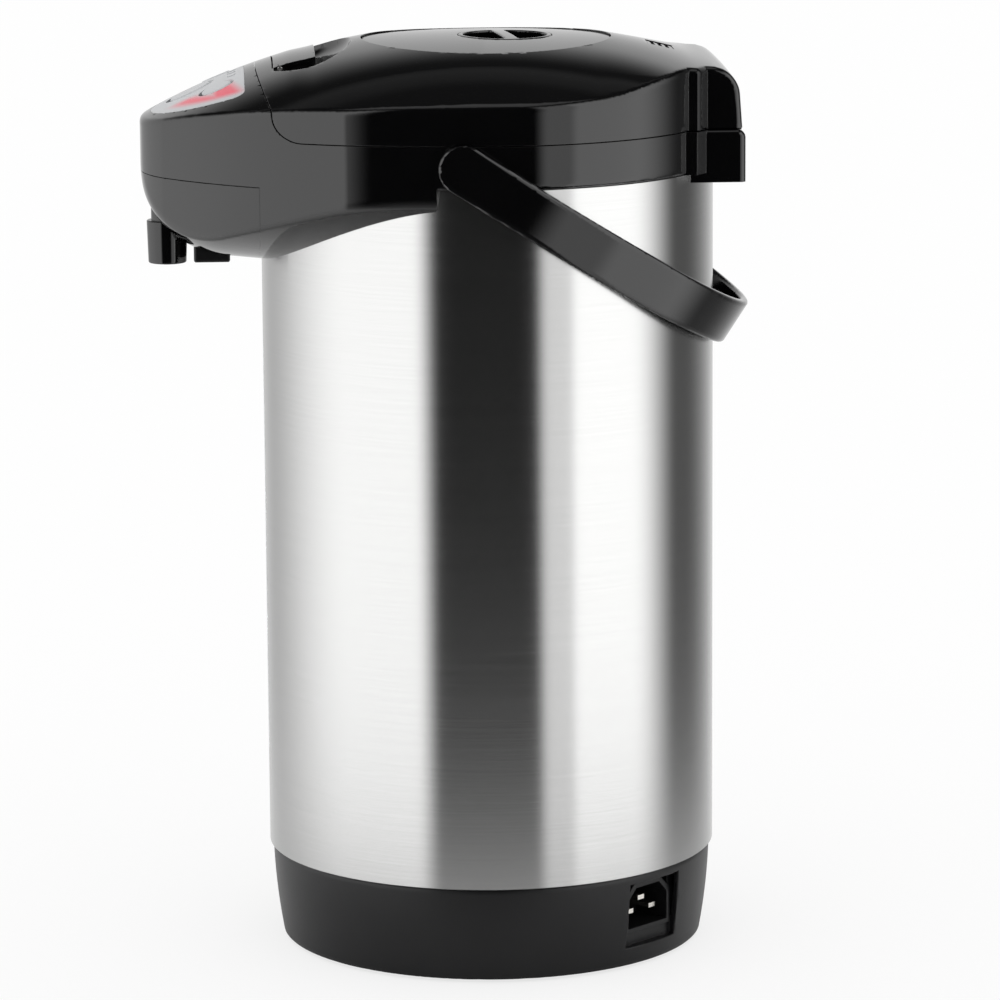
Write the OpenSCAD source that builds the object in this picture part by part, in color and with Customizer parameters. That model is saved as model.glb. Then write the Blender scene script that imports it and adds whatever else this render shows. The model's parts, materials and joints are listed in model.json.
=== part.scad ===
// Electric thermo pot with a hinged lid, a hand pump plate, a carrying handle
// and a pouring hood. The origin is on the body axis, on the surface it stands on.
// The hood points along -Y, the lid hinge is along +Y, and +Z is up.

/* [Body] */
// outer radius of the steel shell
shell_r = 95; // [94:0.5:96]
// wall of the steel shell
shell_wall = 0.8; // [0.6:0.1:1.2]
// height of the seam between base and shell
seam_z = 41; // [38:1:44]
// underside of the plastic collar
collar_z = 332.3; // [331:0.1:334]
// outer radius of the collar and the lid
head_r = 96.5; // [96.3:0.1:97]
// radius of the inner pot
pot_r = 80; // [76:0.5:80]
// underside of the inner pot
pot_z = 62; // [60:1:70]
// wall of the inner pot
pot_wall = 1; // [0.8:0.1:1.5]

/* [Head] */
// height of the seam between collar and lid
lid_z = 350; // [349:0.5:351]
// wall of the moulded covers
skin = 2.4; // [2:0.1:3]
// height of the top surface on the axis, before the pump plate is let in
crown_z = 390.4; // [388:0.2:392]
// front end of the hood, measured from the axis
hood_len = 145.5; // [143:0.5:148]
// front seam of the lid
lid_front = 94.5; // [93:0.5:96]
// rounded lower corner of the lid's front seam
lid_round = 11; // [8:1:13]
// gap along the lid seams
seam_gap = 0.4; // [0.3:0.1:0.6]

/* [Pump plate] */
// radius of the pump plate
plate_r = 52; // [48:0.5:53]
// height of the pump plate's rim
plate_z = 384; // [383:0.2:385]
// crown of the pump plate
plate_crown = 1.6; // [0.8:0.2:2.4]
// radius of the lock knob
knob_r = 19.6; // [17:0.2:21]
// distance of the knob behind the plate's centre
knob_y = 8; // [4:1:12]

/* [Latch] */
// half width of the latch lever
lever_half = 23.5; // [18:0.5:26]
// height of the lever's pivot
lever_z = 374.8; // [374:0.2:375.4]
// distance of the lever's pivot from the axis
lever_y = 86.5; // [86:0.5:88]

/* [Hinge] */
// rear face of the hinge block
block_y = 104.5; // [103:0.5:106]
// half width of the hinge block
block_half = 48.5; // [44:0.5:52]
// underside of the hinge block
block_z = 328.3; // [326:0.1:330]
// height of the hinge pin
hinge_z = 342.2; // [341:0.1:343]
// radius of the hinge pin
hinge_pin_r = 2; // [1.5:0.1:2.5]

/* [Handle] */
// half width of the handle at its pivots
handle_half = 103.4; // [103:0.1:105]
// reach of the handle from its pivots
handle_len = 142.4; // [142:0.1:150]
// thickness of the strap
strap_t = 3.8; // [3:0.1:4]
// width of the strap
strap_w = 20; // [16:0.5:22]
// angle of the resting handle below the horizontal
handle_rest = 33; // [25:1:38]
// distance of the pivots in front of the axis
handle_y = 14.7; // [12:0.1:16]
// height of the pivots
handle_z = 341.6; // [341:0.1:342]

/* [Base] */
// height of the rubber feet
foot_h = 1.5; // [1:0.5:3]
// direction of the mains inlet, from +X towards +Y
inlet_turn = 45; // [20:5:70]
// height of the inlet's centre
inlet_z = 25.2; // [23:0.1:26]
// width of the inlet opening
inlet_w = 24.8; // [24.4:0.1:25.4]
// height of the inlet opening
inlet_h = 16.8; // [16.4:0.1:17.2]

/* [Hidden] */
$fn = 96;
eps = 0.01;

black = [0.05, 0.05, 0.055];
satin = [0.13, 0.13, 0.135];
steel = [0.78, 0.78, 0.77];
clear = [0.85, 0.9, 0.92];
silver = [0.62, 0.63, 0.65];
red = [0.75, 0.12, 0.12];
rubber = [0.16, 0.16, 0.16];
brass = [0.8, 0.65, 0.35];

// plan outline: a rear circle and a nose circle between slack side and cheek arcs
side_r = 198;
nose_r = 58;
nose_y = nose_r - hood_len;
cheek_r = 178.7;
cheek_turn = 48.5;
cheek_x = 80.18;
cheek_y = nose_y + 90.67;

// top surface: a slack barrel, long radius fore and aft, cross radius side to side
barrel_long = 300;
barrel_cross = 202;
barrel_z = crown_z - barrel_long;

// underside of the hood: turned about a line along Y, high above it
keel_z = 418.5;
chin_r = 40;
chin_y = hood_len - chin_r + 0.4;
chin_rho = keel_z - 335;
keel_slope = 5.9;
keel_fore = [chin_rho + (chin_r - 0.1) * cos(keel_slope), chin_y + (chin_r - 0.1) * sin(keel_slope)];
keel_aft_y = 34;
keel_aft = [keel_fore[0] + (keel_fore[1] - keel_aft_y) * tan(keel_slope), keel_aft_y];

// lines of the lid, the hinge and the handle
lid_low = lid_z + seam_gap;
hinge_y = block_y - 5;
block_top = hinge_z + 5;
lobe_low = block_top + 0.4;
lobe_half = block_half - 2;
flare = 7;
flare_from = 84;
flare_to = 92;
knuckle_x = 28;
knuckle_w = 12;
handle_round = 101.3;

// ---- helpers ----

// extrudes a profile drawn as (Y, Z) to both sides of the middle
module across(half) {
    rotate([90, 0, 90]) linear_extrude(2 * half, center = true) children();
}

module box(x0, x1, y0, y1, z0, z1) {
    translate([x0, y0, z0]) cube([x1 - x0, y1 - y0, z1 - z0]);
}

module both_sides() {
    children();
    mirror([1, 0, 0]) children();
}

module link(a, b, r) {
    d = b - a;
    translate(a) rotate([0, acos(d[2] / norm(d)), atan2(d[1], d[0])]) cylinder(r = r, h = norm(d));
}

// round run through a list of points, with ball corners
module run(points, r) {
    for (i = [0:len(points) - 2]) link(points[i], points[i + 1], r);
    for (i = [1:1:len(points) - 2]) translate(points[i]) sphere(r = r);
}

module band(low, high) {
    translate([-120, low]) square([240, high - low]);
}

module lens(x, y, r) {
    intersection() {
        translate([-x, y]) circle(r);
        translate([x, y]) circle(r);
    }
}

module plan(inset) {
    intersection() {
        lens(side_r - head_r + 0.3, 0, side_r - inset);
        lens(cheek_x, cheek_y, cheek_r - inset);
        union() {
            circle(head_r - inset);
            band(-200, 0);
        }
        union() {
            translate([0, nose_y]) circle(nose_r - inset);
            band(nose_y - nose_r * sin(cheek_turn), 120);
        }
    }
}

module barrel(inset) {
    translate([0, 0, barrel_z]) rotate([0, 90, 0]) rotate_extrude($fn = 360) intersection() {
        translate([barrel_long - barrel_cross, 0]) circle(barrel_cross - inset, $fn = 360);
        translate([150, -110]) square([200, 220]);
    }
}

module keel(inset) {
    translate([0, 0, keel_z]) rotate([90, 0, 0]) rotate_extrude() {
        polygon([
            [0, 16], [124 - inset, 16], [keel_aft[0] - 0.8 - inset, 29], keel_aft - [inset, 0],
            keel_fore - [inset, 0], [chin_rho, chin_y], [chin_rho, 160], [0, 160]
        ]);
        translate([chin_rho, chin_y]) circle(chin_r - inset);
    }
}

// the whole moulded head, hood and lid together
module head_form(inset) {
    intersection() {
        translate([0, 0, 270]) linear_extrude(140) plan(inset);
        barrel(inset);
        union() {
            keel(inset);
            box(-100, 100, -100, 100, collar_z + inset, 410);
        }
    }
}

// side view of everything that the lid may fill
module lid_side(gap) {
    translate([-lid_front + gap, lid_z + lid_round]) square([lid_front + 110, 60]);
    translate([-lid_front + lid_round, lid_z + gap]) square([lid_front - lid_round + 110, 60]);
    translate([-lid_front + lid_round, lid_z + lid_round]) circle(lid_round - gap);
}

module lid_zone(gap) {
    across(120) lid_side(gap);
}

// ---- body ----

module outer_shell() {
    color(steel) difference() {
        translate([0, 0, seam_z + 0.3]) cylinder(r = shell_r, h = collar_z + 3.5 - seam_z);
        translate([0, 0, seam_z]) cylinder(r = shell_r - shell_wall, h = collar_z);
        // slot for the water gauge, at the front
        front_bar(window_half - 1.5, window_low + 1.5, window_top - 1.5);
        // notch for the outlet tube, behind the hood
        box(-tube_r - 1.8, tube_r + 1.8, -shell_r - 1, -80, tube_top - tube_r - 1.8, 400);
    }
}

window_half = 9;
window_low = 78;
window_top = 262;

// rounded bar, seen from the front
module front_bar(half, low, top) {
    rotate([90, 0, 0]) linear_extrude(120) {
        translate([-half, low + half]) square([2 * half, top - low - 2 * half]);
        translate([0, low + half]) circle(half);
        translate([0, top - half]) circle(half);
    }
}

module level_window() {
    color(clear) intersection() {
        difference() {
            cylinder(r = shell_r, h = window_top + 2);
            translate([0, 0, -1]) cylinder(r = shell_r - shell_wall - 1.6, h = window_top + 4);
            // its middle fills the slot of the shell, flush with it; its edge lies behind
            difference() {
                cylinder(r = shell_r + 2, h = window_top + 3);
                cylinder(r = shell_r - shell_wall - 0.03, h = window_top + 3);
                front_bar(window_half - 1.6, window_low + 1.6, window_top - 1.6);
            }
        }
        front_bar(window_half, window_low, window_top);
    }
}

tube_y = -84.8;
tube_r = 3.6;
tube_top = 336;

module level_tube() {
    color(clear) difference() {
        translate([0, tube_y, 60.2]) cylinder(r = tube_r, h = 263.6);
        translate([0, tube_y, 59]) cylinder(r = tube_r - 1, h = 266);
    }
}

module inner_pot() {
    color(steel) difference() {
        rotate_extrude() pot_profile();
        translate([0, pump_y + 21, pot_z - 1]) cylinder(r = 3, h = 4);
    }
}

module pot_profile() {
    difference() {
        union() {
            translate([0, pot_z]) square([pot_r - 12, 12]);
            translate([0, pot_z + 12]) square([pot_r, 345 - pot_z - 12]);
            translate([pot_r - 12, pot_z + 12]) circle(12);
            translate([pot_r - 1, 344]) square([7, 1]);
        }
        translate([-20, pot_z + pot_wall]) square([pot_r + 8, 12 - pot_wall + eps]);
        translate([-20, pot_z + 12]) square([20 + pot_r - pot_wall, 300]);
        translate([pot_r - 12, pot_z + 12]) circle(12 - pot_wall);
        translate([-20, pot_z - 1]) square([20, 300]);
    }
}

module heater_plate() {
    color(silver) difference() {
        union() {
            translate([0, 0, pot_z - 3.1]) cylinder(r = 58, h = 3);
            translate([0, 0, pot_z - 7]) rotate_extrude() translate([46, 0]) circle(3.5);
            translate([0, 0, pot_z - 7]) rotate_extrude() translate([46, 0]) translate([-3.5, 0]) square([7, 4]);
        }
        translate([0, pump_y + 21, pot_z - 20]) cylinder(r = 7, h = 30);
    }
}

module thermostats() {
    color(satin) for (x = [-18, 18])
        translate([x, 14, pot_z - 3.2]) mirror([0, 0, 1]) {
            cylinder(r = 8, h = 5);
            translate([0, 0, 5]) cylinder(r = 6.5, h = 6);
        }
}

// ---- base ----

base_bow = 250;
base_bow_x = 93.5 - 249.92;
base_bow_z = seam_z + 6.2;

module base_outer(inset) {
    intersection() {
        translate([base_bow_x, base_bow_z]) circle(base_bow - inset, $fn = 360);
        translate([0, foot_h + inset]) square([120, seam_z - foot_h - inset]);
        union() {
            translate([0, foot_h + 3]) square([120, 60]);
            translate([0, foot_h]) square([86.2, 10]);
            translate([86.2, foot_h + 3]) circle(3);
        }
    }
}

module inlet_place() {
    rotate([0, 0, inlet_turn]) translate([panel_x, 0, inlet_z]) children();
}

panel_x = 87;
panel_half = 15.5;

module base_housing() {
    color(satin) difference() {
        union() {
            rotate_extrude() difference() {
                union() {
                    base_outer(0);
                    translate([91.2, seam_z - eps]) square([shell_r - shell_wall - 91.25, 6]);
                }
                intersection() {
                    translate([base_bow_x, base_bow_z]) circle(base_bow - 2.6, $fn = 360);
                    translate([0, foot_h + 3]) square([91.2, 60]);
                }
                translate([0, -1]) square([80, 10]);
            }
            // flat pad behind the inlet
            intersection() {
                translate([0, 0, 7.4]) cylinder(r = 88.5, h = seam_z - 7.4);
                rotate([0, 0, inlet_turn]) box(76, 90, -20, 20, foot_h, seam_z);
            }
            // screw pillars
            for (a = [0, 90, 180, 270]) rotate([0, 0, a + 5])
                translate([74, 0, 7.4]) cylinder(r = 4, h = 26);
            for (a = [0, 90, 180, 270]) rotate([0, 0, a + 5])
                box(76, 89, -1.2, 1.2, 7.4, 33);
        }
        // recess that shows the flat panel, open to the outside
        rotate([0, 0, inlet_turn]) box(panel_x, 100, -panel_half, panel_half, 9.5, 37.2);
        // opening for the inlet
        inlet_place() box(-20, 1, -inlet_w / 2 - 1.5, inlet_w / 2 + 1.5, -inlet_h / 2 - 1.5, inlet_h / 2 + 1.5);
        for (a = [0, 90, 180, 270]) rotate([0, 0, a + 5])
            translate([74, 0, 0]) cylinder(r = 1.4, h = 26);
    }
}

module base_cover() {
    color(satin) difference() {
        union() {
            translate([0, 0, 4.6]) cylinder(r = 87, h = 2.6);
            translate([0, 0, foot_h + 0.5]) cylinder(r = 79.6, h = 4);
        }
        translate([0, 0, 3.9]) cylinder(r = 66, h = 1);
        for (a = [0, 90, 180, 270]) rotate([0, 0, a + 5]) translate([74, 0, 0]) {
            cylinder(r = 2, h = 20);
            cylinder(r = 4, h = 4.4);
        }
        for (a = [0, 90, 180, 270]) rotate([0, 0, a + 45])
            translate([60, 0, 0]) cylinder(r = 8.05, h = 3.4);
        // vent slots
        for (i = [-4:4]) box(i * 7 - 1.5, i * 7 + 1.5, -24, 24, 0, 8);
    }
}

module base_screws() {
    color(steel) for (a = [0, 90, 180, 270]) rotate([0, 0, a + 5]) translate([74, 0, 0]) difference() {
        union() {
            translate([0, 0, 4.4]) mirror([0, 0, 1]) cylinder(r = 3.4, h = 1.8);
            translate([0, 0, 4.3]) cylinder(r = 1.39, h = 14);
        }
        box(-2.4, 2.4, -0.4, 0.4, 2, 3.6);
        box(-0.4, 0.4, -2.4, 2.4, 2, 3.6);
    }
}

module rubber_feet() {
    color(rubber) for (a = [0, 90, 180, 270]) rotate([0, 0, a + 45]) translate([60, 0, 0]) {
        cylinder(r1 = 7.2, r2 = 8, h = 0.8);
        translate([0, 0, 0.8]) cylinder(r = 8, h = 2.6);
    }
}

// mains inlet outline: two upper corners are cut off
module inlet_outline(grow) {
    w = inlet_w / 2 + grow;
    h = inlet_h / 2 + grow;
    cut = 5 + grow * 0.4;
    polygon([[-w, -h], [w, -h], [w, h - cut], [w - cut, h], [-w + cut, h], [-w, h - cut]]);
}

module inlet_housing() {
    color(black) inlet_place() difference() {
        union() {
            rotate([90, 0, 90]) translate([0, 0, -18]) linear_extrude(18.6) inlet_outline(1.4);
            rotate([90, 0, 90]) translate([0, 0, 0.05]) linear_extrude(1.2) inlet_outline(2);
        }
        rotate([90, 0, 90]) translate([0, 0, -16]) linear_extrude(20) inlet_outline(0);
        for (p = inlet_pin_places) translate([-19, p[0], p[1]]) box(0, 6, -2.05, 2.05, -1.05, 1.05);
    }
}

inlet_pin_places = [[-7, -2.2], [7, -2.2], [0, 2.6]];

module inlet_pins() {
    color(brass) inlet_place() for (p = inlet_pin_places)
        translate([0, p[0], p[1]]) box(-24, -2.5, -2, 2, -1, 1);
}

module power_board() {
    color([0.12, 0.35, 0.2]) {
        box(-52, -50.4, -30, 40, 9, 44);
        color(satin) box(-50.4, -42, -20, -4, 14, 30);
        color(satin) box(-50.4, -44, 8, 26, 14, 36);
    }
}

// ---- pump and water way ----

pump_y = -46;

pump_z = 23;
spout_x = -9;

module pump_housing() {
    color(satin) difference() {
        union() {
            translate([0, pump_y, pump_z]) cylinder(r = 21, h = 12);
            translate([spout_x, pump_y, pump_z + 6]) rotate([90, 0, 0]) cylinder(r = 3.5, h = 28.5);
            translate([0, pump_y + 21, pump_z]) cylinder(r = 6, h = 12);
        }
        translate([0, pump_y, pump_z + 2]) cylinder(r = 18, h = 8);
        translate([spout_x, pump_y, pump_z + 6]) rotate([90, 0, 0]) cylinder(r = 2.2, h = 40);
        translate([0, pump_y + 21, pump_z + 2]) cylinder(r = 3, h = 12);
        translate([0, pump_y, pump_z + 9]) cylinder(r = 1.6, h = 4);
    }
}

module pump_motor() {
    color(silver) {
        translate([0, pump_y, pump_z + 12.1]) cylinder(r = 15, h = 14);
        translate([0, pump_y, pump_z + 26]) cylinder(r = 5, h = 1.5);
        translate([0, pump_y, pump_z + 3]) cylinder(r = 1.5, h = 10);
    }
}

module suction_tube() {
    color(clear) difference() {
        translate([0, pump_y + 21, pump_z + 12.1]) cylinder(r = 4.5, h = pot_z - pump_z - 12.2);
        translate([0, pump_y + 21, pump_z]) cylinder(r = 3, h = pot_z);
    }
}

// from the pump's spout up to the foot of the gauge tube
pressure_path = [[spout_x, -74.6, 29], [spout_x, tube_y, 29], [0, tube_y, 29], [0, tube_y, 66]];

module pressure_tube() {
    color(clear) difference() {
        run(pressure_path, tube_r + 1);
        run(pressure_path, tube_r - 1);
        translate([0, tube_y, 60]) cylinder(r = tube_r + 0.05, h = 20);
    }
}

nozzle_at = 134.5;
outlet_path = [
    [0, tube_y, 318], [0, tube_y, tube_top], [0, -nozzle_at, tube_top], [0, -nozzle_at, 310.2]
];

module outlet_tube() {
    color(clear) difference() {
        run(outlet_path, tube_r + 1.2);
        run(outlet_path, tube_r - 1);
        translate([0, tube_y, 317]) cylinder(r = tube_r + 0.05, h = 7);
    }
}

// ---- head ----

spout_back = -96;
part_z = 331.5;

// side view below the parting line of the spout cover
module spout_side(gap) {
    polygon([
        [-160, part_z - gap], [spout_back - gap, part_z - gap], [spout_back - gap, 280], [-160, 280]
    ]);
}

// plan of a block whose sides open out where they meet the round head
module flared(half, back) {
    wide = half + flare;
    polygon([
        [-wide, 60], [wide, 60], [wide, flare_from], [half, flare_to],
        [half, back], [-half, back], [-half, flare_to], [-wide, flare_from]
    ]);
}

module hinge_block() {
    difference() {
        union() {
            translate([0, 0, collar_z]) linear_extrude(block_top - collar_z)
                flared(block_half, hinge_y);
            across(block_half) difference() {
                union() {
                    translate([70, block_z]) square([hinge_y - 70, block_top - block_z]);
                    translate([70, block_z]) square([block_y - 70, hinge_z - block_z]);
                    translate([hinge_y, hinge_z]) circle(5);
                }
            }
        }
        // the pot's mouth stays open
        translate([0, 0, 270]) cylinder(r = pot_r + 6.4, h = 100);
        // slots for the lid's two knuckles
        both_sides() box(knuckle_x - knuckle_w / 2 - 0.3, knuckle_x + knuckle_w / 2 + 0.3,
            hinge_y - 5.8, block_y + 1, hinge_z - 5.6, block_top + 1);
        translate([0, hinge_y, hinge_z]) rotate([0, 90, 0])
            cylinder(r = hinge_pin_r + 0.01, h = 2 * block_half - 6, center = true);
    }
}

module film_zone(grow) {
    intersection() {
        translate([0, -97, 345]) cylinder(r = 44 + grow, h = 60);
        box(-60, 60, -160, -101 + grow, 345, 405);
    }
}

// height of the top surface over a point
function top_at(x, y) = barrel_z
    + sqrt(pow(barrel_long - barrel_cross + sqrt(barrel_cross * barrel_cross - x * x), 2) - y * y);

// places a child on the sloping panel, with +Z along the panel's normal
module on_panel(x, y) {
    translate([x, y, top_at(x, y)]) rotate([panel_tilt, 0, 0]) children();
}

panel_tilt = 22;
pour_at = [0, -124];
boil_at = [21, -113];
unlock_at = [-21, -113];
lens_places = [[-8, -106.5], [0, -106.5], [8, -106.5]];

module head_housing() {
    color(black) difference() {
        union() {
            difference() {
                head_form(0);
                lid_zone(0);
                // hollow hood: the wall behind stands against the shell and the lid
                difference() {
                    head_form(skin);
                    cylinder(r = head_r + 1.6, h = lid_z);
                    lid_zone(-skin);
                }
                // room for the shell and the pot
                translate([0, 0, 200]) cylinder(r = shell_r + 0.05, h = collar_z + 4 - 200);
                cylinder(r = pot_r + 6.4, h = 400);
            }
            // ledge that carries the pot's rim, with a tongue inside the shell
            rotate_extrude() {
                translate([pot_r + 0.4, 340]) square([head_r - pot_r - 1.4, 3.9]);
                translate([shell_r - shell_wall - 2.6, 329]) square([2.55, 12]);
            }
            hinge_block();
            // pivot bosses of the handle
            both_sides() translate([head_r - 8, -handle_y, handle_z]) rotate([0, 90, 0])
                cylinder(r = 8.2, h = 10.3);
        }
        // shell groove stays open below the hinge block
        difference() {
            translate([0, 0, 200]) cylinder(r = shell_r + 0.05, h = collar_z + 4 - 200);
            translate([0, 0, 200]) cylinder(r = shell_r - shell_wall - 0.05, h = 140);
        }
        // bores for the handle pins
        both_sides() translate([88.9, -handle_y, handle_z]) rotate([0, 90, 0])
            cylinder(r = 4.01, h = 30);
        // opening for the spout cover
        across(120) spout_side(0);
        // way in for the outlet tube
        translate([0, tube_y, 300]) cylinder(r = tube_r + 1.5, h = tube_top - 300);
        translate([0, tube_y, tube_top]) sphere(r = tube_r + 1.5);
        translate([0, tube_y, tube_top]) rotate([90, 0, 0]) cylinder(r = tube_r + 1.5, h = 20);
        // recess for the film, and what comes through it
        difference() {
            film_zone(0.1);
            head_form(0.5);
        }
        on_panel(pour_at[0], pour_at[1]) cylinder(r = 9.3, h = 12, center = true);
        on_panel(boil_at[0], boil_at[1]) cylinder(r = 6.8, h = 12, center = true);
        on_panel(unlock_at[0], unlock_at[1]) cylinder(r = 6.8, h = 12, center = true);
        for (p = lens_places) on_panel(p[0], p[1]) cylinder(r = 1.7, h = 12, center = true);
        // slot for the latch hook
        box(-8.6, 8.6, -98, -90, 353.4, 361.6);
    }
}

module spout_cover() {
    color(black) difference() {
        intersection() {
            head_form(0);
            across(120) spout_side(0.25);
        }
        difference() {
            head_form(skin);
            box(-120, 120, spout_back - skin, 0, 200, 400);
        }
        cylinder(r = shell_r + 0.4, h = collar_z);
        translate([0, -nozzle_at, 280]) cylinder(r = 8.6, h = 40);
        box(-14.2, 14.2, -123.5, -108.2, 280, 305);
        // notch for the outlet tube
        translate([0, tube_y, tube_top]) rotate([90, 0, 0]) cylinder(r = tube_r + 1.5, h = 20);
    }
}

module nozzle() {
    color(black) difference() {
        union() {
            translate([0, -nozzle_at, 291.5]) cylinder(r1 = 8, r2 = 8.5, h = 18);
            translate([0, -nozzle_at, 309.5]) cylinder(r = tube_r + 3, h = 6);
        }
        translate([0, -nozzle_at, 290]) cylinder(r = 6.3, h = 8);
        translate([0, -nozzle_at, 290]) cylinder(r = 3.2, h = 30);
        translate([0, -nozzle_at, 310]) cylinder(r = tube_r + 1.25, h = 10);
    }
}

module nozzle_guard() {
    color(black) difference() {
        box(-14, 14, -123.4, -108.3, 293, 304);
        box(-12, 12, -121.6, -110, 292, 302);
    }
}

module control_board() {
    color([0.12, 0.35, 0.2]) translate([0, -116, 355]) rotate([panel_tilt, 0, 0]) {
        box(-32, 32, -14, 15, -1.6, 0);
        color(satin) for (p = [[0, -8, 2.4], [21, 3, 1.4], [-21, 3, 1.4]])
            translate([p[0], p[1], 0]) box(-3, 3, -3, 3, 0, p[2]);
    }
}

module control_film() {
    color(silver) difference() {
        intersection() {
            head_form(0);
            film_zone(0);
        }
        head_form(0.45);
        on_panel(pour_at[0], pour_at[1]) cylinder(r = 9.3, h = 12, center = true);
        on_panel(boil_at[0], boil_at[1]) cylinder(r = 6.8, h = 12, center = true);
        on_panel(unlock_at[0], unlock_at[1]) cylinder(r = 6.8, h = 12, center = true);
        for (p = lens_places) on_panel(p[0], p[1]) cylinder(r = 1.7, h = 12, center = true);
    }
}

module indicator_lenses() {
    color(red) intersection() {
        head_form(-0.2);
        for (p = lens_places) on_panel(p[0], p[1]) translate([0, 0, -5]) cylinder(r = 1.65, h = 10);
    }
}

module button(at, r) {
    intersection() {
        head_form(-0.3);
        on_panel(at[0], at[1]) translate([0, 0, -5]) cylinder(r = r, h = 12);
    }
    on_panel(at[0], at[1]) translate([0, 0, -7.5]) cylinder(r = r + 1.4, h = 2.6);
}

module pour_button() {
    color(red) button(pour_at, 9);
}

module boil_button() {
    color(silver) button(boil_at, 6.5);
}

module unlock_button() {
    color(silver) button(unlock_at, 6.5);
}

// ---- hinge and handle ----

module hinge_pin() {
    color(steel) translate([0, hinge_y, hinge_z]) rotate([0, 90, 0])
        cylinder(r = hinge_pin_r, h = 2 * block_half - 6, center = true);
}

module handle_pins() {
    color(black) both_sides() translate([89, -handle_y, handle_z]) rotate([0, 90, 0]) {
        cylinder(r = 4, h = handle_half - 90);
        translate([0, 0, handle_half - 90.05]) cylinder(r = 6, h = 1);
    }
}

// outline of the handle from above, as two slack cheek arcs and a rear arc
module handle_plan(inset) {
    cheek = handle_half + handle_round;
    reach = handle_len;
    tail = (handle_round * handle_round + reach * reach - cheek * cheek) / (2 * (reach - cheek));
    turn = atan2(reach - tail, handle_round);
    intersection() {
        translate([-handle_round, 0]) circle(cheek - inset);
        translate([handle_round, 0]) circle(cheek - inset);
        translate([-110, -20]) square([220, 20 + reach - tail + (tail - inset) * sin(turn)]);
    }
    translate([0, reach - tail]) circle(tail - inset);
}

module handle() {
    color(black) translate([0, -handle_y, handle_z]) rotate([-handle_rest, 0, 0]) difference() {
        intersection() {
            linear_extrude(strap_w, center = true) difference() {
                handle_plan(0);
                handle_plan(strap_t);
            }
            union() {
                across(120) {
                    circle(strap_w / 2);
                    translate([0, -strap_w / 2]) square([handle_len + 1, strap_w]);
                }
            }
        }
        rotate([0, 90, 0]) cylinder(r = 4.05, h = 240, center = true);
        both_sides() translate([handle_half - 1.2, 0, 0]) rotate([0, 90, 0]) cylinder(r = 6.1, h = 4);
    }
}

// ---- lid ----

// side view of the rounded rear lobe over the hinge
lobe_round = 12.5;
lobe_y = block_y - 1.5;
lobe_z = barrel_z + sqrt(pow(barrel_long - lobe_round, 2) - pow(lobe_y - lobe_round, 2));

module lobe_side() {
    translate([60, lobe_low]) square([lobe_y - lobe_round - 60, 60]);
    translate([60, lobe_low]) square([lobe_y - 60, lobe_z - lobe_low]);
    translate([lobe_y - lobe_round, lobe_z]) circle(lobe_round);
}

module lid_outside() {
    intersection() {
        head_form(0);
        lid_zone(seam_gap);
    }
    difference() {
        intersection() {
            barrel(0);
            across(lobe_half + flare) lobe_side();
            translate([0, 0, lobe_low]) linear_extrude(60) flared(lobe_half, block_y);
        }
        cylinder(r = head_r + seam_gap, h = lid_low);
    }
}

module scoop() {
    across(29) translate([-72, 396]) circle(22);
}

module latch_room() {
    box(-lever_half - 2.7, lever_half + 2.7, -lever_y - 3.4, -71.4, 368, 400);
}

module vent_place(grow) {
    box(-8 - grow, 8 + grow, 67.5 - grow, 78.5 + grow, 360, 400);
}

module lid_shell() {
    color(black) difference() {
        union() {
            difference() {
                lid_outside();
                difference() {
                    intersection() {
                        head_form(skin);
                        lid_zone(seam_gap + skin);
                    }
                    // floor and walls around the latch
                    box(-31, 31, -92, -50, 366, 400);
                    // guide of the pump plate
                    translate([0, 0, 362]) cylinder(r = plate_r + 2.6, h = 40);
                }
                // open underneath
                translate([0, 0, lid_z - 10]) linear_extrude(13.2) intersection() {
                    plan(skin);
                    translate([-100, -lid_front + seam_gap + lid_round]) square([200, 220]);
                }
            }
            // hinge knuckles
            both_sides() across_at(knuckle_x, knuckle_w / 2) {
                translate([hinge_y, hinge_z]) circle(4.6);
                translate([hinge_y - 4.6, hinge_z]) square([9.2, 8]);
            }
            // screw pillars
            for (p = lid_screw_places) translate([p[0], p[1], 353.1]) cylinder(r = 3.6, h = 23.4);
        }
        translate([0, 0, 340]) cylinder(r = plate_r + 0.4, h = 60);
        scoop();
        latch_room();
        // room for the swinging hook, down through the floor and out at the front
        box(-8.8, 8.8, -lever_y - 3.4, -73, 352, 380);
        box(-8.6, 8.6, -96, -80, 354, 361.4);
        vent_place(0.1);
        translate([0, hinge_y, hinge_z]) rotate([0, 90, 0])
            cylinder(r = hinge_pin_r + 0.05, h = 120, center = true);
        translate([0, -lever_y, lever_z]) rotate([0, 90, 0]) cylinder(r = 1.26, h = 54, center = true);
        for (p = lid_screw_places) translate([p[0], p[1], 350]) cylinder(r = 1.3, h = 14);
    }
}

module across_at(x, half) {
    translate([x, 0, 0]) across(half) children();
}

lid_screw_places = [[61, 41], [-61, 41], [61, -41], [-61, -41]];

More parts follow.
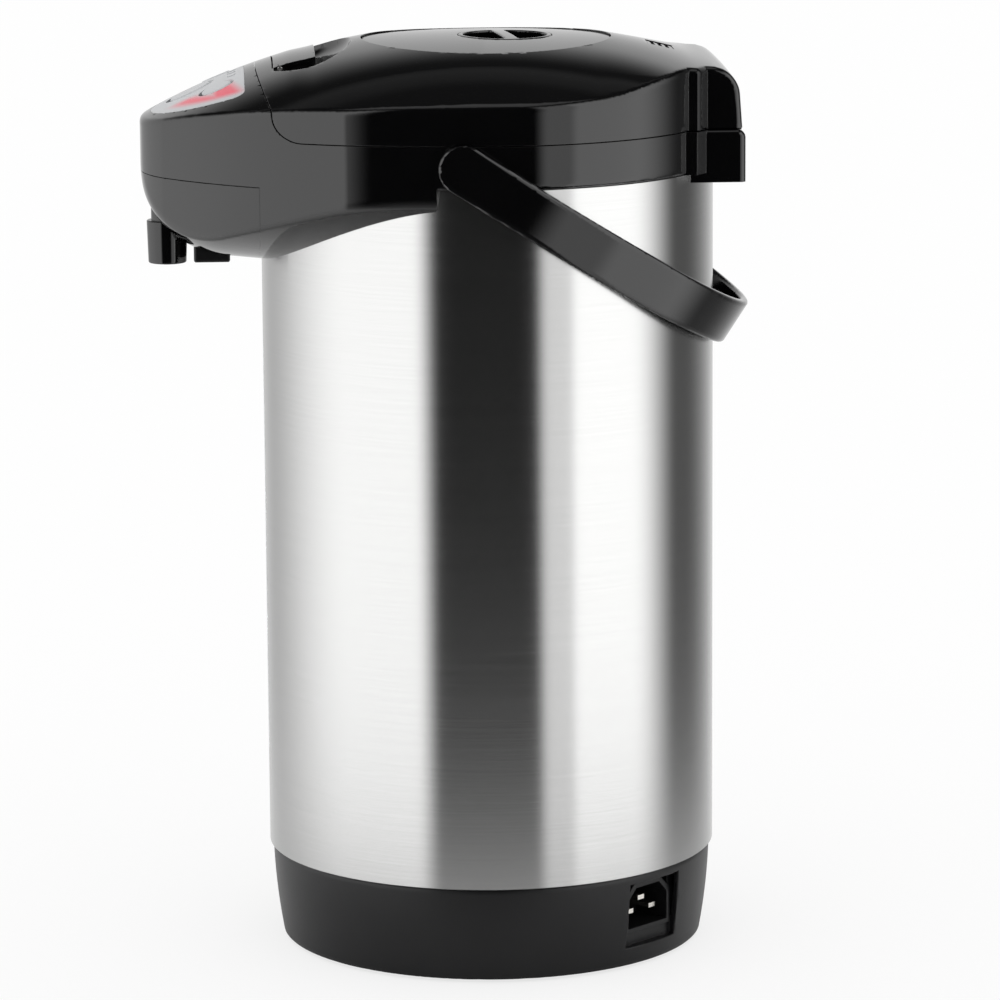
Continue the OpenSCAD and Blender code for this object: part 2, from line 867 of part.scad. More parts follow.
module lid_liner() {
    color(satin) difference() {
        union() {
            translate([0, 0, lid_low]) linear_extrude(2.4) intersection() {
                plan(skin + 0.25);
                translate([-100, -lid_front + seam_gap + lid_round + 0.2]) square([200, 220]);
            }
            translate([0, 0, 341]) cylinder(r = 77.5, h = lid_low - 341 + 0.1);
            translate([0, 0, 347.2]) cylinder(r = 84.9, h = lid_low - 347.2 + 0.1);
        }
        difference() {
            translate([0, 0, 343]) cylinder(r = 75.3, h = lid_low - 343);
            for (p = lid_screw_places) translate([p[0], p[1], 342]) cylinder(r = 5, h = 10);
        }
        translate([0, 0, 340]) cylinder(r = 8, h = 5);
        translate([0, 62, 340]) cylinder(r = 4, h = 5);
        translate([0, 0, 349]) cylinder(r = 5, h = 5);
        for (p = lid_screw_places) translate([p[0], p[1], 340]) {
            cylinder(r = 1.6, h = 20);
            cylinder(r = 3.4, h = 4.4);
        }
    }
}

module lid_gasket() {
    color(rubber) rotate_extrude() {
        translate([pot_r - 2.45, 345.1]) square([6.45, 2.05]);
        translate([pot_r - 2.45, 343.2]) square([1.1, 2]);
    }
}

module lid_screws() {
    color(steel) for (p = lid_screw_places) translate([p[0], p[1], 0]) difference() {
        union() {
            translate([0, 0, 342.6]) cylinder(r = 3, h = 1.8);
            translate([0, 0, 344.3]) cylinder(r = 1.29, h = 16);
        }
        box(-2, 2, -0.4, 0.4, 342, 343.8);
        box(-0.4, 0.4, -2, 2, 342, 343.8);
    }
}

module steam_vent() {
    color(black) difference() {
        intersection() {
            head_form(0.3);
            vent_place(0);
        }
        translate([0, 0, -eps]) intersection() {
            head_form(3.2);
            vent_place(-1.5);
        }
        box(-20, 20, 60, 90, 300, 372);
        for (y = [70, 73, 76]) box(-5.5, 5.5, y - 0.7, y + 0.7, 360, 400);
    }
}

// ---- pump plate and its knob ----

plate_ball = (plate_r * plate_r + plate_crown * plate_crown) / (2 * plate_crown);

module plate_top(r, grow) {
    rotate_extrude() intersection() {
        translate([0, 340]) square([r, 60]);
        translate([0, plate_z + plate_crown - plate_ball]) circle(plate_ball + grow, $fn = 1440);
    }
}

module press_plate() {
    color(black) difference() {
        plate_top(plate_r, 0);
        box(-60, 60, -60, 60, 300, 366);
        // hollow underneath
        difference() {
            translate([0, 0, 360]) cylinder(r = plate_r - 2, h = plate_z - 2.6 - 360);
            translate([0, knob_y, 360]) cylinder(r = knob_r + 2.4, h = 40);
        }
        // well for the knob, with its axle
        translate([0, knob_y, plate_z - 9]) cylinder(r = knob_r + 0.3, h = 20);
        translate([0, knob_y, 360]) cylinder(r = 4.05, h = 20);
        translate([0, knob_y, 365]) cylinder(r = knob_r - 2, h = plate_z - 11.4 - 365);
    }
}

module lock_knob() {
    color(black) difference() {
        union() {
            intersection() {
                plate_top(plate_r, 0.2);
                translate([0, knob_y, plate_z - 8.8]) cylinder(r = knob_r, h = 20);
            }
            translate([0, knob_y, plate_z - 14]) cylinder(r = 4, h = 6);
        }
        // two finger wells leave the bar that is turned
        difference() {
            translate([0, knob_y, plate_z - 5.5]) cylinder(r = knob_r - 2, h = 20);
            translate([0, knob_y, 0]) rotate([0, 0, -5]) box(-knob_r, knob_r, -2.8, 2.8, 360, 400);
        }
    }
}

fold_n = 7;
fold_h = 4;
fold_in = 33;
fold_out = 46;
fold_z = lid_low + 2.5;

module pump_bellows() {
    color(rubber) translate([0, 0, fold_z]) rotate_extrude() for (i = [0:fold_n - 1])
        translate([0, i * fold_h]) polygon([
            [fold_in, 0], [fold_out, fold_h / 2 - 0.4], [fold_out, fold_h / 2 + 0.4],
            [fold_in, fold_h], [fold_in - 1.6, fold_h], [fold_out - 2, fold_h / 2], [fold_in - 1.6, 0]
        ]);
}

module return_spring() {
    color(steel) translate([0, knob_y, fold_z]) linear_extrude(19.4, twist = -360 * 5, slices = 90, $fn = 8)
        translate([14, 0]) circle(0.9);
}

// ---- latch ----

module latch_lever() {
    color(black) difference() {
        union() {
            difference() {
                intersection() {
                    head_form(0);
                    box(-lever_half, lever_half, -lever_y, -71.8, 360, 400);
                }
                head_form(3.4);
            }
            intersection() {
                head_form(0);
                across(lever_half) translate([-lever_y, lever_z]) circle(3);
            }
        }
        translate([0, -lever_y, lever_z]) rotate([0, 90, 0]) cylinder(r = 1.31, h = 60, center = true);
    }
}

// hook under the lever, turning with it; it holds the lid in the hood's slot
module latch_hook() {
    color(black) across(8) {
        difference() {
            translate([-lever_y - 2, 356]) square([4, 18]);
            translate([-lever_y, lever_z]) circle(3.02);
        }
        translate([-97.2, 356]) polygon([[0, 2.2], [2, 3.4], [10, 3.4], [10, 0], [1, 0]]);
    }
}

module latch_pin() {
    color(steel) translate([0, -lever_y, lever_z]) rotate([0, 90, 0]) cylinder(r = 1.25, h = 54, center = true);
}

outer_shell();
level_window();
level_tube();
inner_pot();
heater_plate();
thermostats();
base_housing();
base_cover();
base_screws();
rubber_feet();
inlet_housing();
inlet_pins();
power_board();
pump_housing();
pump_motor();
suction_tube();
pressure_tube();
outlet_tube();
head_housing();
spout_cover();
nozzle();
nozzle_guard();
control_board();
control_film();
indicator_lenses();
pour_button();
boil_button();
unlock_button();
hinge_pin();
handle_pins();
handle();
lid_shell();
lid_liner();
lid_gasket();
lid_screws();
steam_vent();
press_plate();
lock_knob();
pump_bellows();
return_spring();
latch_lever();
latch_hook();
latch_pin();
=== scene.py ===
import json
import math

import bpy
import numpy as np
from mathutils import Matrix, Vector

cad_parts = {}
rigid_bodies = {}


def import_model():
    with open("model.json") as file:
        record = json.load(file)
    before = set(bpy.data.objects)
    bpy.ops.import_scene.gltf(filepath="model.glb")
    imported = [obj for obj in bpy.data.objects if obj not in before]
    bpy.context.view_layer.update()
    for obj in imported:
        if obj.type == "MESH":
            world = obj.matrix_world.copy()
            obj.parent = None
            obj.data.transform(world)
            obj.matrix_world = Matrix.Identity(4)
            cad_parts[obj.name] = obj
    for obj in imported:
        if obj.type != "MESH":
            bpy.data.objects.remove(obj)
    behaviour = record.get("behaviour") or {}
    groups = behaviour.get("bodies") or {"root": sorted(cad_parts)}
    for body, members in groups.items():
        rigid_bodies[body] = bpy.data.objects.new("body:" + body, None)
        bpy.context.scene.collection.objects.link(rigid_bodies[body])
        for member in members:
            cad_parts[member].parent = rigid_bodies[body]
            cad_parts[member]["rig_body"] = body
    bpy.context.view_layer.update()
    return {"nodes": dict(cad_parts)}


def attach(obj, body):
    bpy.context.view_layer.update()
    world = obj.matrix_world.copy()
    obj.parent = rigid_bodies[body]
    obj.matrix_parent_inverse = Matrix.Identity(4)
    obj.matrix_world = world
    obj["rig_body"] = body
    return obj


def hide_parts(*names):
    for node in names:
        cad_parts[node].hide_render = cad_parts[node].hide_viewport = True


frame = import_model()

nodes = frame["nodes"]
print("frame loaded:", len(nodes), "nodes")

# lengths are in metres here
viewFrom = {
    "distance": 2.2078,      # from the body axis, level
    "height": 0.6119,
    "turn": -3.0,            # degrees from +X towards -Y
    "pitch": 0.19,           # radians, looking down
    "roll": 0.007,
    "lens": 190.3,
    "shiftX": 0.0111,
}


def makeCamera(view):
    turn = math.radians(view["turn"])
    outward = Vector((math.cos(turn), math.sin(turn), 0))
    right = Vector((-math.sin(turn), math.cos(turn), 0))
    up = Vector((0, 0, 1))
    forward = -outward * math.cos(view["pitch"]) - up * math.sin(view["pitch"])
    upright = right.cross(forward)
    tiltedRight = (right - upright * view["roll"]).normalized()
    tiltedUp = tiltedRight.cross(forward)
    place = Matrix((tiltedRight, tiltedUp, -forward)).transposed().to_4x4()
    place.translation = outward * view["distance"] + up * view["height"]
    cameraData = bpy.data.cameras.new("productCamera")
    cameraData.lens = view["lens"]
    cameraData.sensor_width = 36
    cameraData.shift_x = view["shiftX"]
    cameraData.clip_end = 50
    camera = bpy.data.objects.new("productCamera", cameraData)
    camera.matrix_world = place
    bpy.context.collection.objects.link(camera)
    bpy.context.scene.camera = camera
    return outward, right


outward, right = makeCamera(viewFrom)
print("camera placed")


def newMaterial(name):
    material = bpy.data.materials.new(name)
    material.use_nodes = True
    tree = material.node_tree
    tree.nodes.clear()
    output = tree.nodes.new("ShaderNodeOutputMaterial")
    return material, tree, output


def addNode(tree, kind, **settings):
    node = tree.nodes.new(kind)
    for key, value in settings.items():
        setattr(node, key, value)
    return node


def feed(tree, socket, value):
    # a number or a colour is set on the socket itself, and an output is linked to it
    if isinstance(value, (int, float)):
        socket.default_value = value
    elif isinstance(value, tuple):
        socket.default_value = (*value[:3], 1)
    else:
        tree.links.new(value, socket)


def mathNode(tree, operation, first, second=None, clamp=False):
    node = addNode(tree, "ShaderNodeMath", operation=operation, use_clamp=clamp)
    for socket, value in zip(node.inputs, (first, second)):
        if value is not None:
            feed(tree, socket, value)
    return node.outputs[0]


def rampNode(tree, source, stops):
    node = addNode(tree, "ShaderNodeMapRange")
    node.interpolation_type = "SMOOTHSTEP"
    tree.links.new(source, node.inputs["Value"])
    for name, value in zip(("From Min", "From Max", "To Min", "To Max"), stops):
        node.inputs[name].default_value = value
    return node.outputs["Result"]


def mixColour(tree, factor, first, second):
    node = addNode(tree, "ShaderNodeMix", data_type="RGBA")
    for socket, value in ((node.inputs[0], factor), (node.inputs[6], first), (node.inputs[7], second)):
        feed(tree, socket, value)
    return node.outputs[2]


def noiseNode(tree, place, scale, detail, roughness=0.5):
    node = addNode(tree, "ShaderNodeTexNoise")
    tree.links.new(place, node.inputs["Vector"])
    feed(tree, node.inputs["Scale"], scale)
    node.inputs["Detail"].default_value = detail
    node.inputs["Roughness"].default_value = roughness
    return node.outputs["Fac"]


def bumpNode(tree, distance, strength, height, normal=None):
    node = addNode(tree, "ShaderNodeBump")
    node.inputs["Distance"].default_value = distance
    tree.links.new(strength, node.inputs["Strength"])
    tree.links.new(height, node.inputs["Height"])
    if normal is not None:
        tree.links.new(normal, node.inputs["Normal"])
    return node.outputs["Normal"]


def groupSockets(group, inputs, outputs):
    for name, kind, value in inputs:
        socket = group.interface.new_socket(name=name, in_out="INPUT", socket_type=kind)
        socket.default_value = value
    for name, kind in outputs:
        group.interface.new_socket(name=name, in_out="OUTPUT", socket_type=kind)
    return group.nodes.new("NodeGroupInput"), group.nodes.new("NodeGroupOutput")


def spreadRoughness(group, start, noise):
    centred = mathNode(group, "SUBTRACT", noise, 0.5)
    spread = mathNode(group, "MULTIPLY", centred, start.outputs["Spread"])
    return mathNode(group, "ADD", spread, start.outputs["Roughness"], clamp=True)


def makeMouldedGroup():
    # soft edges, faint waviness of a moulded face, fine grain, and dust in the roughness
    group = bpy.data.node_groups.new("mouldedSurface", "ShaderNodeTree")
    start, end = groupSockets(group, (
        ("Edge", "NodeSocketFloat", 0.0006), ("Grain Scale", "NodeSocketFloat", 900.0),
        ("Grain", "NodeSocketFloat", 0.02), ("Wave", "NodeSocketFloat", 0.01),
        ("Roughness", "NodeSocketFloat", 0.1), ("Spread", "NodeSocketFloat", 0.04),
    ), (("Normal", "NodeSocketVector"), ("Roughness", "NodeSocketFloat"), ("Mottle", "NodeSocketFloat")))
    place = addNode(group, "ShaderNodeTexCoord").outputs["Object"]
    soft = addNode(group, "ShaderNodeBevel", samples=6)
    group.links.new(start.outputs["Edge"], soft.inputs["Radius"])
    wave = noiseNode(group, place, 28, 1)
    grain = noiseNode(group, place, start.outputs["Grain Scale"], 2)
    smear = noiseNode(group, place, 55, 4)
    waved = bumpNode(group, 0.002, start.outputs["Wave"], wave, soft.outputs["Normal"])
    grained = bumpNode(group, 0.0004, start.outputs["Grain"], grain, waved)
    group.links.new(grained, end.inputs["Normal"])
    group.links.new(spreadRoughness(group, start, smear), end.inputs["Roughness"])
    group.links.new(smear, end.inputs["Mottle"])
    return group


def makeBrushedGroup():
    # fine lines round the body: noise stretched level, packed close along the height
    group = bpy.data.node_groups.new("brushedLines", "ShaderNodeTree")
    start, end = groupSockets(group, (
        ("Strength", "NodeSocketFloat", 0.1), ("Roughness", "NodeSocketFloat", 0.3),
        ("Spread", "NodeSocketFloat", 0.1), ("Along", "NodeSocketFloat", 14.0),
        ("Across", "NodeSocketFloat", 2600.0),
    ), (("Normal", "NodeSocketVector"), ("Roughness", "NodeSocketFloat"), ("Lines", "NodeSocketFloat")))
    place = addNode(group, "ShaderNodeTexCoord")
    split = addNode(group, "ShaderNodeSeparateXYZ")
    group.links.new(place.outputs["Object"], split.inputs[0])
    join = addNode(group, "ShaderNodeCombineXYZ")
    for axis, density in enumerate(("Along", "Along", "Across")):
        stretched = mathNode(group, "MULTIPLY", split.outputs[axis], start.outputs[density])
        group.links.new(stretched, join.inputs[axis])
    lines = noiseNode(group, join.outputs[0], 1, 3, 0.7)
    group.links.new(bumpNode(group, 0.0002, start.outputs["Strength"], lines), end.inputs["Normal"])
    group.links.new(spreadRoughness(group, start, lines), end.inputs["Roughness"])
    group.links.new(lines, end.inputs["Lines"])
    return group


mouldedSurface = makeMouldedGroup()
brushedLines = makeBrushedGroup()


def placeGroup(tree, group, values):
    node = addNode(tree, "ShaderNodeGroup", node_tree=group)
    for key, value in values.items():
        node.inputs[key].default_value = value
    return node


def joinUp(tree, look, colour, shader, output):
    tree.links.new(look.outputs["Normal"], shader.inputs["Normal"])
    tree.links.new(look.outputs["Roughness"], shader.inputs["Roughness"])
    tree.links.new(colour, shader.inputs["Base Color"])
    tree.links.new(shader.outputs[0], output.inputs[0])


def mouldedMaterial(name, colour, tint, ior=1.5, metallic=0.0, **surface):
    material, tree, output = newMaterial(name)
    shader = addNode(tree, "ShaderNodeBsdfPrincipled")
    shader.inputs["IOR"].default_value = ior
    shader.inputs["Metallic"].default_value = metallic
    look = placeGroup(tree, mouldedSurface, surface)
    joinUp(tree, look, mixColour(tree, look.outputs["Mottle"], colour, tint), shader, output)
    return material


def brushedMaterial(name, colour, tint, anisotropy, lines):
    material, tree, output = newMaterial(name)
    shader = addNode(tree, "ShaderNodeBsdfPrincipled")
    shader.inputs["Metallic"].default_value = 1
    shader.inputs["Anisotropic"].default_value = anisotropy
    shader.inputs["Anisotropic Rotation"].default_value = 0.25
    tangent = addNode(tree, "ShaderNodeTangent", direction_type="RADIAL", axis="Z")
    tree.links.new(tangent.outputs[0], shader.inputs["Tangent"])
    look = placeGroup(tree, brushedLines, lines)
    joinUp(tree, look, mixColour(tree, look.outputs["Lines"], colour, tint), shader, output)
    return material


def clearMaterial(name, colour, roughness):
    material, tree, output = newMaterial(name)
    shader = addNode(tree, "ShaderNodeBsdfPrincipled")
    shader.inputs["Transmission Weight"].default_value = 0.85
    shader.inputs["IOR"].default_value = 1.45
    look = placeGroup(tree, mouldedSurface, {
        "Roughness": roughness, "Spread": 0.05, "Grain": 0.01, "Wave": 0.02, "Edge": 0.0003})
    darker = tuple(0.94 * part for part in colour)
    joinUp(tree, look, mixColour(tree, look.outputs["Mottle"], colour, darker), shader, output)
    return material


def boardMaterial(name):
    # green board with copper lines: a brick pattern with thin joints, broken up by noise
    material, tree, output = newMaterial(name)
    shader = addNode(tree, "ShaderNodeBsdfPrincipled")
    place = addNode(tree, "ShaderNodeTexCoord")
    bricks = addNode(tree, "ShaderNodeTexBrick")
    bricks.inputs["Scale"].default_value = 90
    bricks.inputs["Mortar Size"].default_value = 0.03
    bricks.inputs["Color1"].default_value = (0.01, 0.10, 0.04, 1)
    bricks.inputs["Color2"].default_value = (0.012, 0.13, 0.05, 1)
    bricks.inputs["Mortar"].default_value = (0.05, 0.2, 0.06, 1)
    tree.links.new(place.outputs["Object"], bricks.inputs["Vector"])
    look = placeGroup(tree, mouldedSurface, {"Roughness": 0.35, "Spread": 0.2})
    joinUp(tree, look, bricks.outputs["Color"], shader, output)
    return material


# the red wings of the panel, in metres: each pair of numbers is where the red begins or ends softly
wing = {
    "middle": 0.0928, "outside": (0.0395, 0.0462),       # outer border: a circle about the panel's middle
    "setBack": 0.0770, "inside": (0.0455, 0.0525),       # inner border: a circle set back along Y
    "front": (-0.1165, -0.1120), "besideKey": (0.0135, 0.0235),
    "slant": 0.23, "rear": (-0.1150, -0.1095),
    "red": (0.82, 0.09, 0.14), "silver": (0.50, 0.51, 0.53), "paleSilver": (0.56, 0.57, 0.58),
}


def filmMaterial(name):
    # silver film with a soft red wing at each side of the keys
    material, tree, output = newMaterial(name)
    shader = addNode(tree, "ShaderNodeBsdfPrincipled")
    shader.inputs["IOR"].default_value = 1.5
    place = addNode(tree, "ShaderNodeTexCoord")
    split = addNode(tree, "ShaderNodeSeparateXYZ")
    tree.links.new(place.outputs["Object"], split.inputs[0])
    along = split.outputs[1]
    sideways = mathNode(tree, "ABSOLUTE", split.outputs[0])

    def times(first, second):
        return mathNode(tree, "MULTIPLY", first, second)

    def reachFrom(middle):
        forwards = mathNode(tree, "ADD", along, middle)
        return mathNode(tree, "SQRT", mathNode(
            tree, "ADD", times(sideways, sideways), times(forwards, forwards)))

    within = rampNode(tree, reachFrom(wing["middle"]), (*wing["outside"], 1, 0))
    beyond = mathNode(tree, "MAXIMUM", rampNode(tree, reachFrom(wing["setBack"]), (*wing["inside"], 0, 1)),
                      rampNode(tree, along, (*wing["front"], 0, 1)))
    beside = rampNode(tree, sideways, (*wing["besideKey"], 0, 1))
    slant = mathNode(tree, "SUBTRACT", along, times(sideways, wing["slant"]))
    before = rampNode(tree, slant, (*wing["rear"], 1, 0))
    red = times(times(within, times(beyond, beside)), before)
    look = placeGroup(tree, mouldedSurface, {
        "Roughness": 0.28, "Spread": 0.08, "Grain": 0.01, "Edge": 0.0003})
    silver = mixColour(tree, look.outputs["Mottle"], wing["silver"], wing["paleSilver"])
    joinUp(tree, look, mixColour(tree, red, silver, wing["red"]), shader, output)
    return material


finishes = {
    "glossBlack": mouldedMaterial(
        "glossBlack", (0.0012, 0.0012, 0.0014), (0.0022, 0.0022, 0.0024), ior=1.5,
        Edge=0.0003, Grain=0.004, Wave=0.004, Roughness=0.05, Spread=0.04),
    "satinBlack": mouldedMaterial(
        "satinBlack", (0.0035, 0.0035, 0.004), (0.006, 0.006, 0.0065), ior=1.36,
        Edge=0.0006, Grain=0.06, Roughness=0.38, Spread=0.08),
    "blackRubber": mouldedMaterial(
        "blackRubber", (0.02, 0.02, 0.02), (0.035, 0.035, 0.034), ior=1.45,
        Edge=0.0004, Grain=0.15, Roughness=0.7, Spread=0.1),
    "silverPlastic": mouldedMaterial(
        "silverPlastic", (0.50, 0.51, 0.53), (0.56, 0.57, 0.58), ior=1.5,
        Edge=0.0004, Grain=0.01, Roughness=0.28, Spread=0.06),
    "castAluminium": mouldedMaterial(
        "castAluminium", (0.62, 0.62, 0.62), (0.72, 0.72, 0.71), metallic=1.0,
        Edge=0.0005, Grain=0.2, Roughness=0.4, Spread=0.2),
    "platedBrass": mouldedMaterial(
        "platedBrass", (0.75, 0.72, 0.66), (0.82, 0.80, 0.76), metallic=1.0,
        Edge=0.0003, Grain=0.03, Roughness=0.22, Spread=0.1),
    "screwSteel": mouldedMaterial(
        "screwSteel", (0.55, 0.55, 0.54), (0.66, 0.66, 0.65), metallic=1.0,
        Edge=0.0003, Grain=0.05, Roughness=0.28, Spread=0.15),
    "brushedSteel": brushedMaterial(
        "brushedSteel", (0.40, 0.40, 0.397), (0.46, 0.46, 0.456), 0.9,
        {"Strength": 0.04, "Roughness": 0.2, "Spread": 0.08}),
    "spunSteel": brushedMaterial(
        "spunSteel", (0.56, 0.56, 0.55), (0.66, 0.66, 0.65), 0.6,
        {"Strength": 0.05, "Roughness": 0.24, "Spread": 0.12}),
    "clearPlastic": clearMaterial("clearPlastic", (0.86, 0.90, 0.91), 0.08),
    "boardGreen": boardMaterial("boardGreen"),
    "panelFilm": filmMaterial("panelFilm"),
}

finishOf = {
    "glossBlack": ("head_housing", "spout_cover", "lid_shell", "press_plate", "lock_knob",
                   "latch_lever", "latch_hook", "handle", "handle_pins", "nozzle", "steam_vent"),
    "satinBlack": ("base_housing", "base_cover", "nozzle_guard", "inlet_housing", "lid_liner",
                   "pump_housing", "thermostats"),
    "blackRubber": ("rubber_feet", "lid_gasket", "pump_bellows"),
    "silverPlastic": ("pour_button", "boil_button", "unlock_button", "indicator_lenses"),
    "castAluminium": ("heater_plate", "pump_motor"),
    "platedBrass": ("inlet_pins",),
    "screwSteel": ("base_screws", "lid_screws", "hinge_pin", "latch_pin", "return_spring"),
    "brushedSteel": ("outer_shell",),
    "spunSteel": ("inner_pot",),
    "clearPlastic": ("level_window", "level_tube", "pressure_tube", "suction_tube", "outlet_tube"),
    "boardGreen": ("power_board", "control_board"),
    "panelFilm": ("control_film",),
}
for finish, names in finishOf.items():
    for name in names:
        for slot in nodes[name].material_slots:
            slot.material = finishes[finish]
print("finishes given to", sum(len(names) for names in finishOf.values()), "nodes")


def largest(radius, *fields):
    # the largest of the fields; where two come within the radius of each other's edge the corner is
    # a quarter circle: the reaches past the radius are added like the sides of a right angle
    stack = np.stack(np.broadcast_arrays(*fields))
    if radius <= 0:
        return stack.max(0)
    past = np.maximum(stack + radius, 0)
    return np.minimum(stack.max(0), -radius) + np.sqrt((past ** 2).sum(0))


def without(radius, form, *holes):
    return largest(radius, form, *(-hole for hole in holes))


def block(x, y, z, xs, ys, zs, radius=0):
    # a box between two places along each axis
    return largest(radius, xs[0] - x, x - xs[1], ys[0] - y, y - ys[1], zs[0] - z, z - zs[1])


def pinAlong(a, b, radius):
    return np.hypot(a, b) - radius


# how far the grid of points goes past a form, in steps, how many times a crossing is closed in on, and how
# strongly a point is held to the middle of its crossings
grid = {"before": 1.37, "after": 2.4, "tries": 4, "nearEnd": 0.05, "hold": 0.03}


def skinOf(field, low, high, step):
    # the surface where the field is zero. Each grid edge on which the field changes sign gives a point
    # and a slope; each cell takes the point nearest to all planes of its own edges; each crossed
    # edge joins its four cells with one face
    step = np.broadcast_to(np.asarray(step, float), 3)
    axes = [np.arange(first - grid["before"] * s, last + grid["after"] * s, s)
            for first, last, s in zip(low, high, step)]
    shape = [len(a) for a in axes]
    value = np.ones(shape)
    inside = (slice(1, -1),) * 3
    value[inside] = np.broadcast_to(field(*np.meshgrid(*axes, indexing="ij", sparse=True)), shape)[inside]
    stride = np.array([shape[1] * shape[2], shape[2], 1])
    points, slopes, facings, cells, faces = [], [], [], [], []
    for axis in range(3):
        near = np.take(value, range(shape[axis] - 1), axis)
        far = np.take(value, range(1, shape[axis]), axis)
        index = np.stack(np.nonzero((near < 0) != (far < 0)))
        a, b = near[tuple(index)], far[tuple(index)]
        start = np.stack([axes[i][index[i]] for i in range(3)])
        along = np.zeros((3, 1))
        along[axis] = step[axis]
        nearAt, farAt = np.zeros(a.shape), np.ones(a.shape)
        for _ in range(grid["tries"]):
            part = nearAt + (farAt - nearAt) * np.clip(a / (a - b), grid["nearEnd"], 1 - grid["nearEnd"])
            found = field(*(start + along * part))
            lower = (found < 0) == (a < 0)
            nearAt, a = np.where(lower, part, nearAt), np.where(lower, found, a)
            farAt, b = np.where(lower, farAt, part), np.where(lower, b, found)
        place = start + along * (nearAt + (farAt - nearAt) * a / (a - b))
        slope = slopeOf(field, place)
        second, third = (axis + 1) % 3, (axis + 2) % 3
        corner = (index * stride[:, None]).sum(0)
        ring = np.stack([corner, corner - stride[second], corner - stride[second] - stride[third],
                         corner - stride[third]], 1)
        outward = (near < 0)[tuple(index)]
        faces.append(np.where(outward[:, None], ring, ring[:, ::-1]))
        points.append(np.repeat(place, 4, 1))
        slopes.append(np.repeat(slope, 4, 1))
        facings.append(slope)
        cells.append(ring.ravel())
    points, slopes = np.concatenate(points, 1), np.concatenate(slopes, 1)
    known, owner = np.unique(np.concatenate(cells), return_inverse=True)
    faces = np.searchsorted(known, np.concatenate(faces))
    count = np.bincount(owner)
    middle = np.stack([np.bincount(owner, p) for p in points]) / count
    offset = (slopes * (points - middle[:, owner])).sum(0)
    square = np.empty((len(known), 3, 3))
    for i in range(3):
        for j in range(3):
            square[:, i, j] = np.bincount(owner, slopes[i] * slopes[j]) + (grid["hold"] if i == j else 0)
    pull = np.stack([np.bincount(owner, s * offset) for s in slopes], 1)
    shift = np.linalg.solve(square, pull[:, :, None])[:, :, 0]
    corner = np.stack([axes[i][(known // stride[i]) % shape[i]] for i in range(3)], 1)
    spots = np.clip(middle.T + shift, corner, corner + step)
    return spots, faces, np.concatenate(facings, 1).T


def slopeOf(field, place, reach=0.02):
    slope = np.empty(place.shape)
    for i in range(3):
        nudge = np.zeros((3, 1))
        nudge[i] = reach
        slope[i] = field(*(place + nudge)) - field(*(place - nudge))
    return slope / np.maximum(np.linalg.norm(slope, axis=0), 1e-9)


def cornerNormals(faces, facings, sharp):
    # each corner of a face takes the mean slope of the faces at that point which turn from its own by
    # less than the sharp angle
    order = np.argsort(faces.ravel(), kind="stable")
    point, first, count = np.unique(faces.ravel()[order], return_index=True, return_counts=True)
    slope = np.repeat(facings, 4, 0)
    normals = np.empty(slope.shape)
    for many in np.unique(count):
        corners = order[first[count == many][:, None] + np.arange(many)]
        around = slope[corners]
        alike = np.einsum("nci,ndi->ncd", around, around) > math.cos(math.radians(sharp))
        normals[corners] = np.einsum("ncd,ndi->nci", alike.astype(float), around)
    return normals / np.linalg.norm(normals, axis=1, keepdims=True)


def makePiece(name, spots, faces, material, facings=None, sharp=38.0):
    mesh = bpy.data.meshes.new(name)
    mesh.from_pydata(spots / 1000.0, [], faces)
    mesh.materials.append(material)
    mesh.update()
    mesh.shade_smooth()
    mesh.set_sharp_from_angle(angle=math.radians(sharp))
    if facings is not None:
        mesh.normals_split_custom_set(cornerNormals(faces, facings, sharp).tolist())
    piece = bpy.data.objects.new(name, mesh)
    bpy.context.collection.objects.link(piece)
    return piece


# lengths from here on are in millimetres; makePiece turns them into metres
headShape = {
    "sideRadius": 198, "sideCentre": 101.8, "cheekRadius": 178.7, "cheekCentre": (80.18, 3.17),
    "rearRadius": 96.5, "noseRadius": 58, "noseCentre": -87.5, "noseTurn": 48.5,
    "crownLong": 300, "crownAcross": 202, "crownCentre": 90.4,
    "keelCentre": 418.5, "chinRadius": 40, "chinReach": 105.9, "chinDrop": 83.5, "keelSlope": 5.9,
    "keelLift": 0.1, "keelEnd": -25, "collarFrom": -100, "collarLow": 332.3,
    "creaseRadius": 1.7, "chinBlend": 2.0, "wall": 2.4,
    "spineFall": 0.8, "spineFront": (-84, -73), "spineRear": (84, 95), "spineHalf": 65,
    "rearFrom": 42, "rearLong": 50, "rearHalf": 46.5, "rearRise": 0.3, "rearSpread": 5.2,
    "seamRadius": 420, "seamFront": 97.1, "seamHeight": 350, "seamRound": 11, "panelTilt": 22,
}
outOfReach = 50     # stands for a distance past every form here
latchAxis = {"y": -86.5, "z": 374.8}
hinge = {"y": 99.5, "z": 342.2, "bore": 2.05, "pinHalf": 45.6, "knuckleAt": 28, "knuckleHalf": 6,
         "knuckleRadius": 4.6, "top": 352, "room": ((21.7, 34.3), (93.7, 106), (336.6, 352))}


def planOf(x, y, inset=0):
    # outline from above: slack side arcs, cheek arcs, a rear circle and a nose circle
    s = headShape
    side = np.hypot(np.abs(x) + s["sideCentre"], y) - s["sideRadius"]
    cheek = np.hypot(np.abs(x) + s["cheekCentre"][0], y - s["cheekCentre"][1]) - s["cheekRadius"]
    rearPart = np.where(y > 0, np.hypot(x, y) - s["rearRadius"], -outOfReach)
    noseBack = s["noseCentre"] - s["noseRadius"] * math.sin(math.radians(s["noseTurn"]))
    nose = np.where(y < noseBack, np.hypot(x, y - s["noseCentre"]) - s["noseRadius"], -outOfReach)
    return largest(0, side, cheek, rearPart, nose) + inset


def smooth(value, first, last):
    part = np.clip((value - first) / (last - first), 0, 1)
    return part * part * (3 - 2 * part)


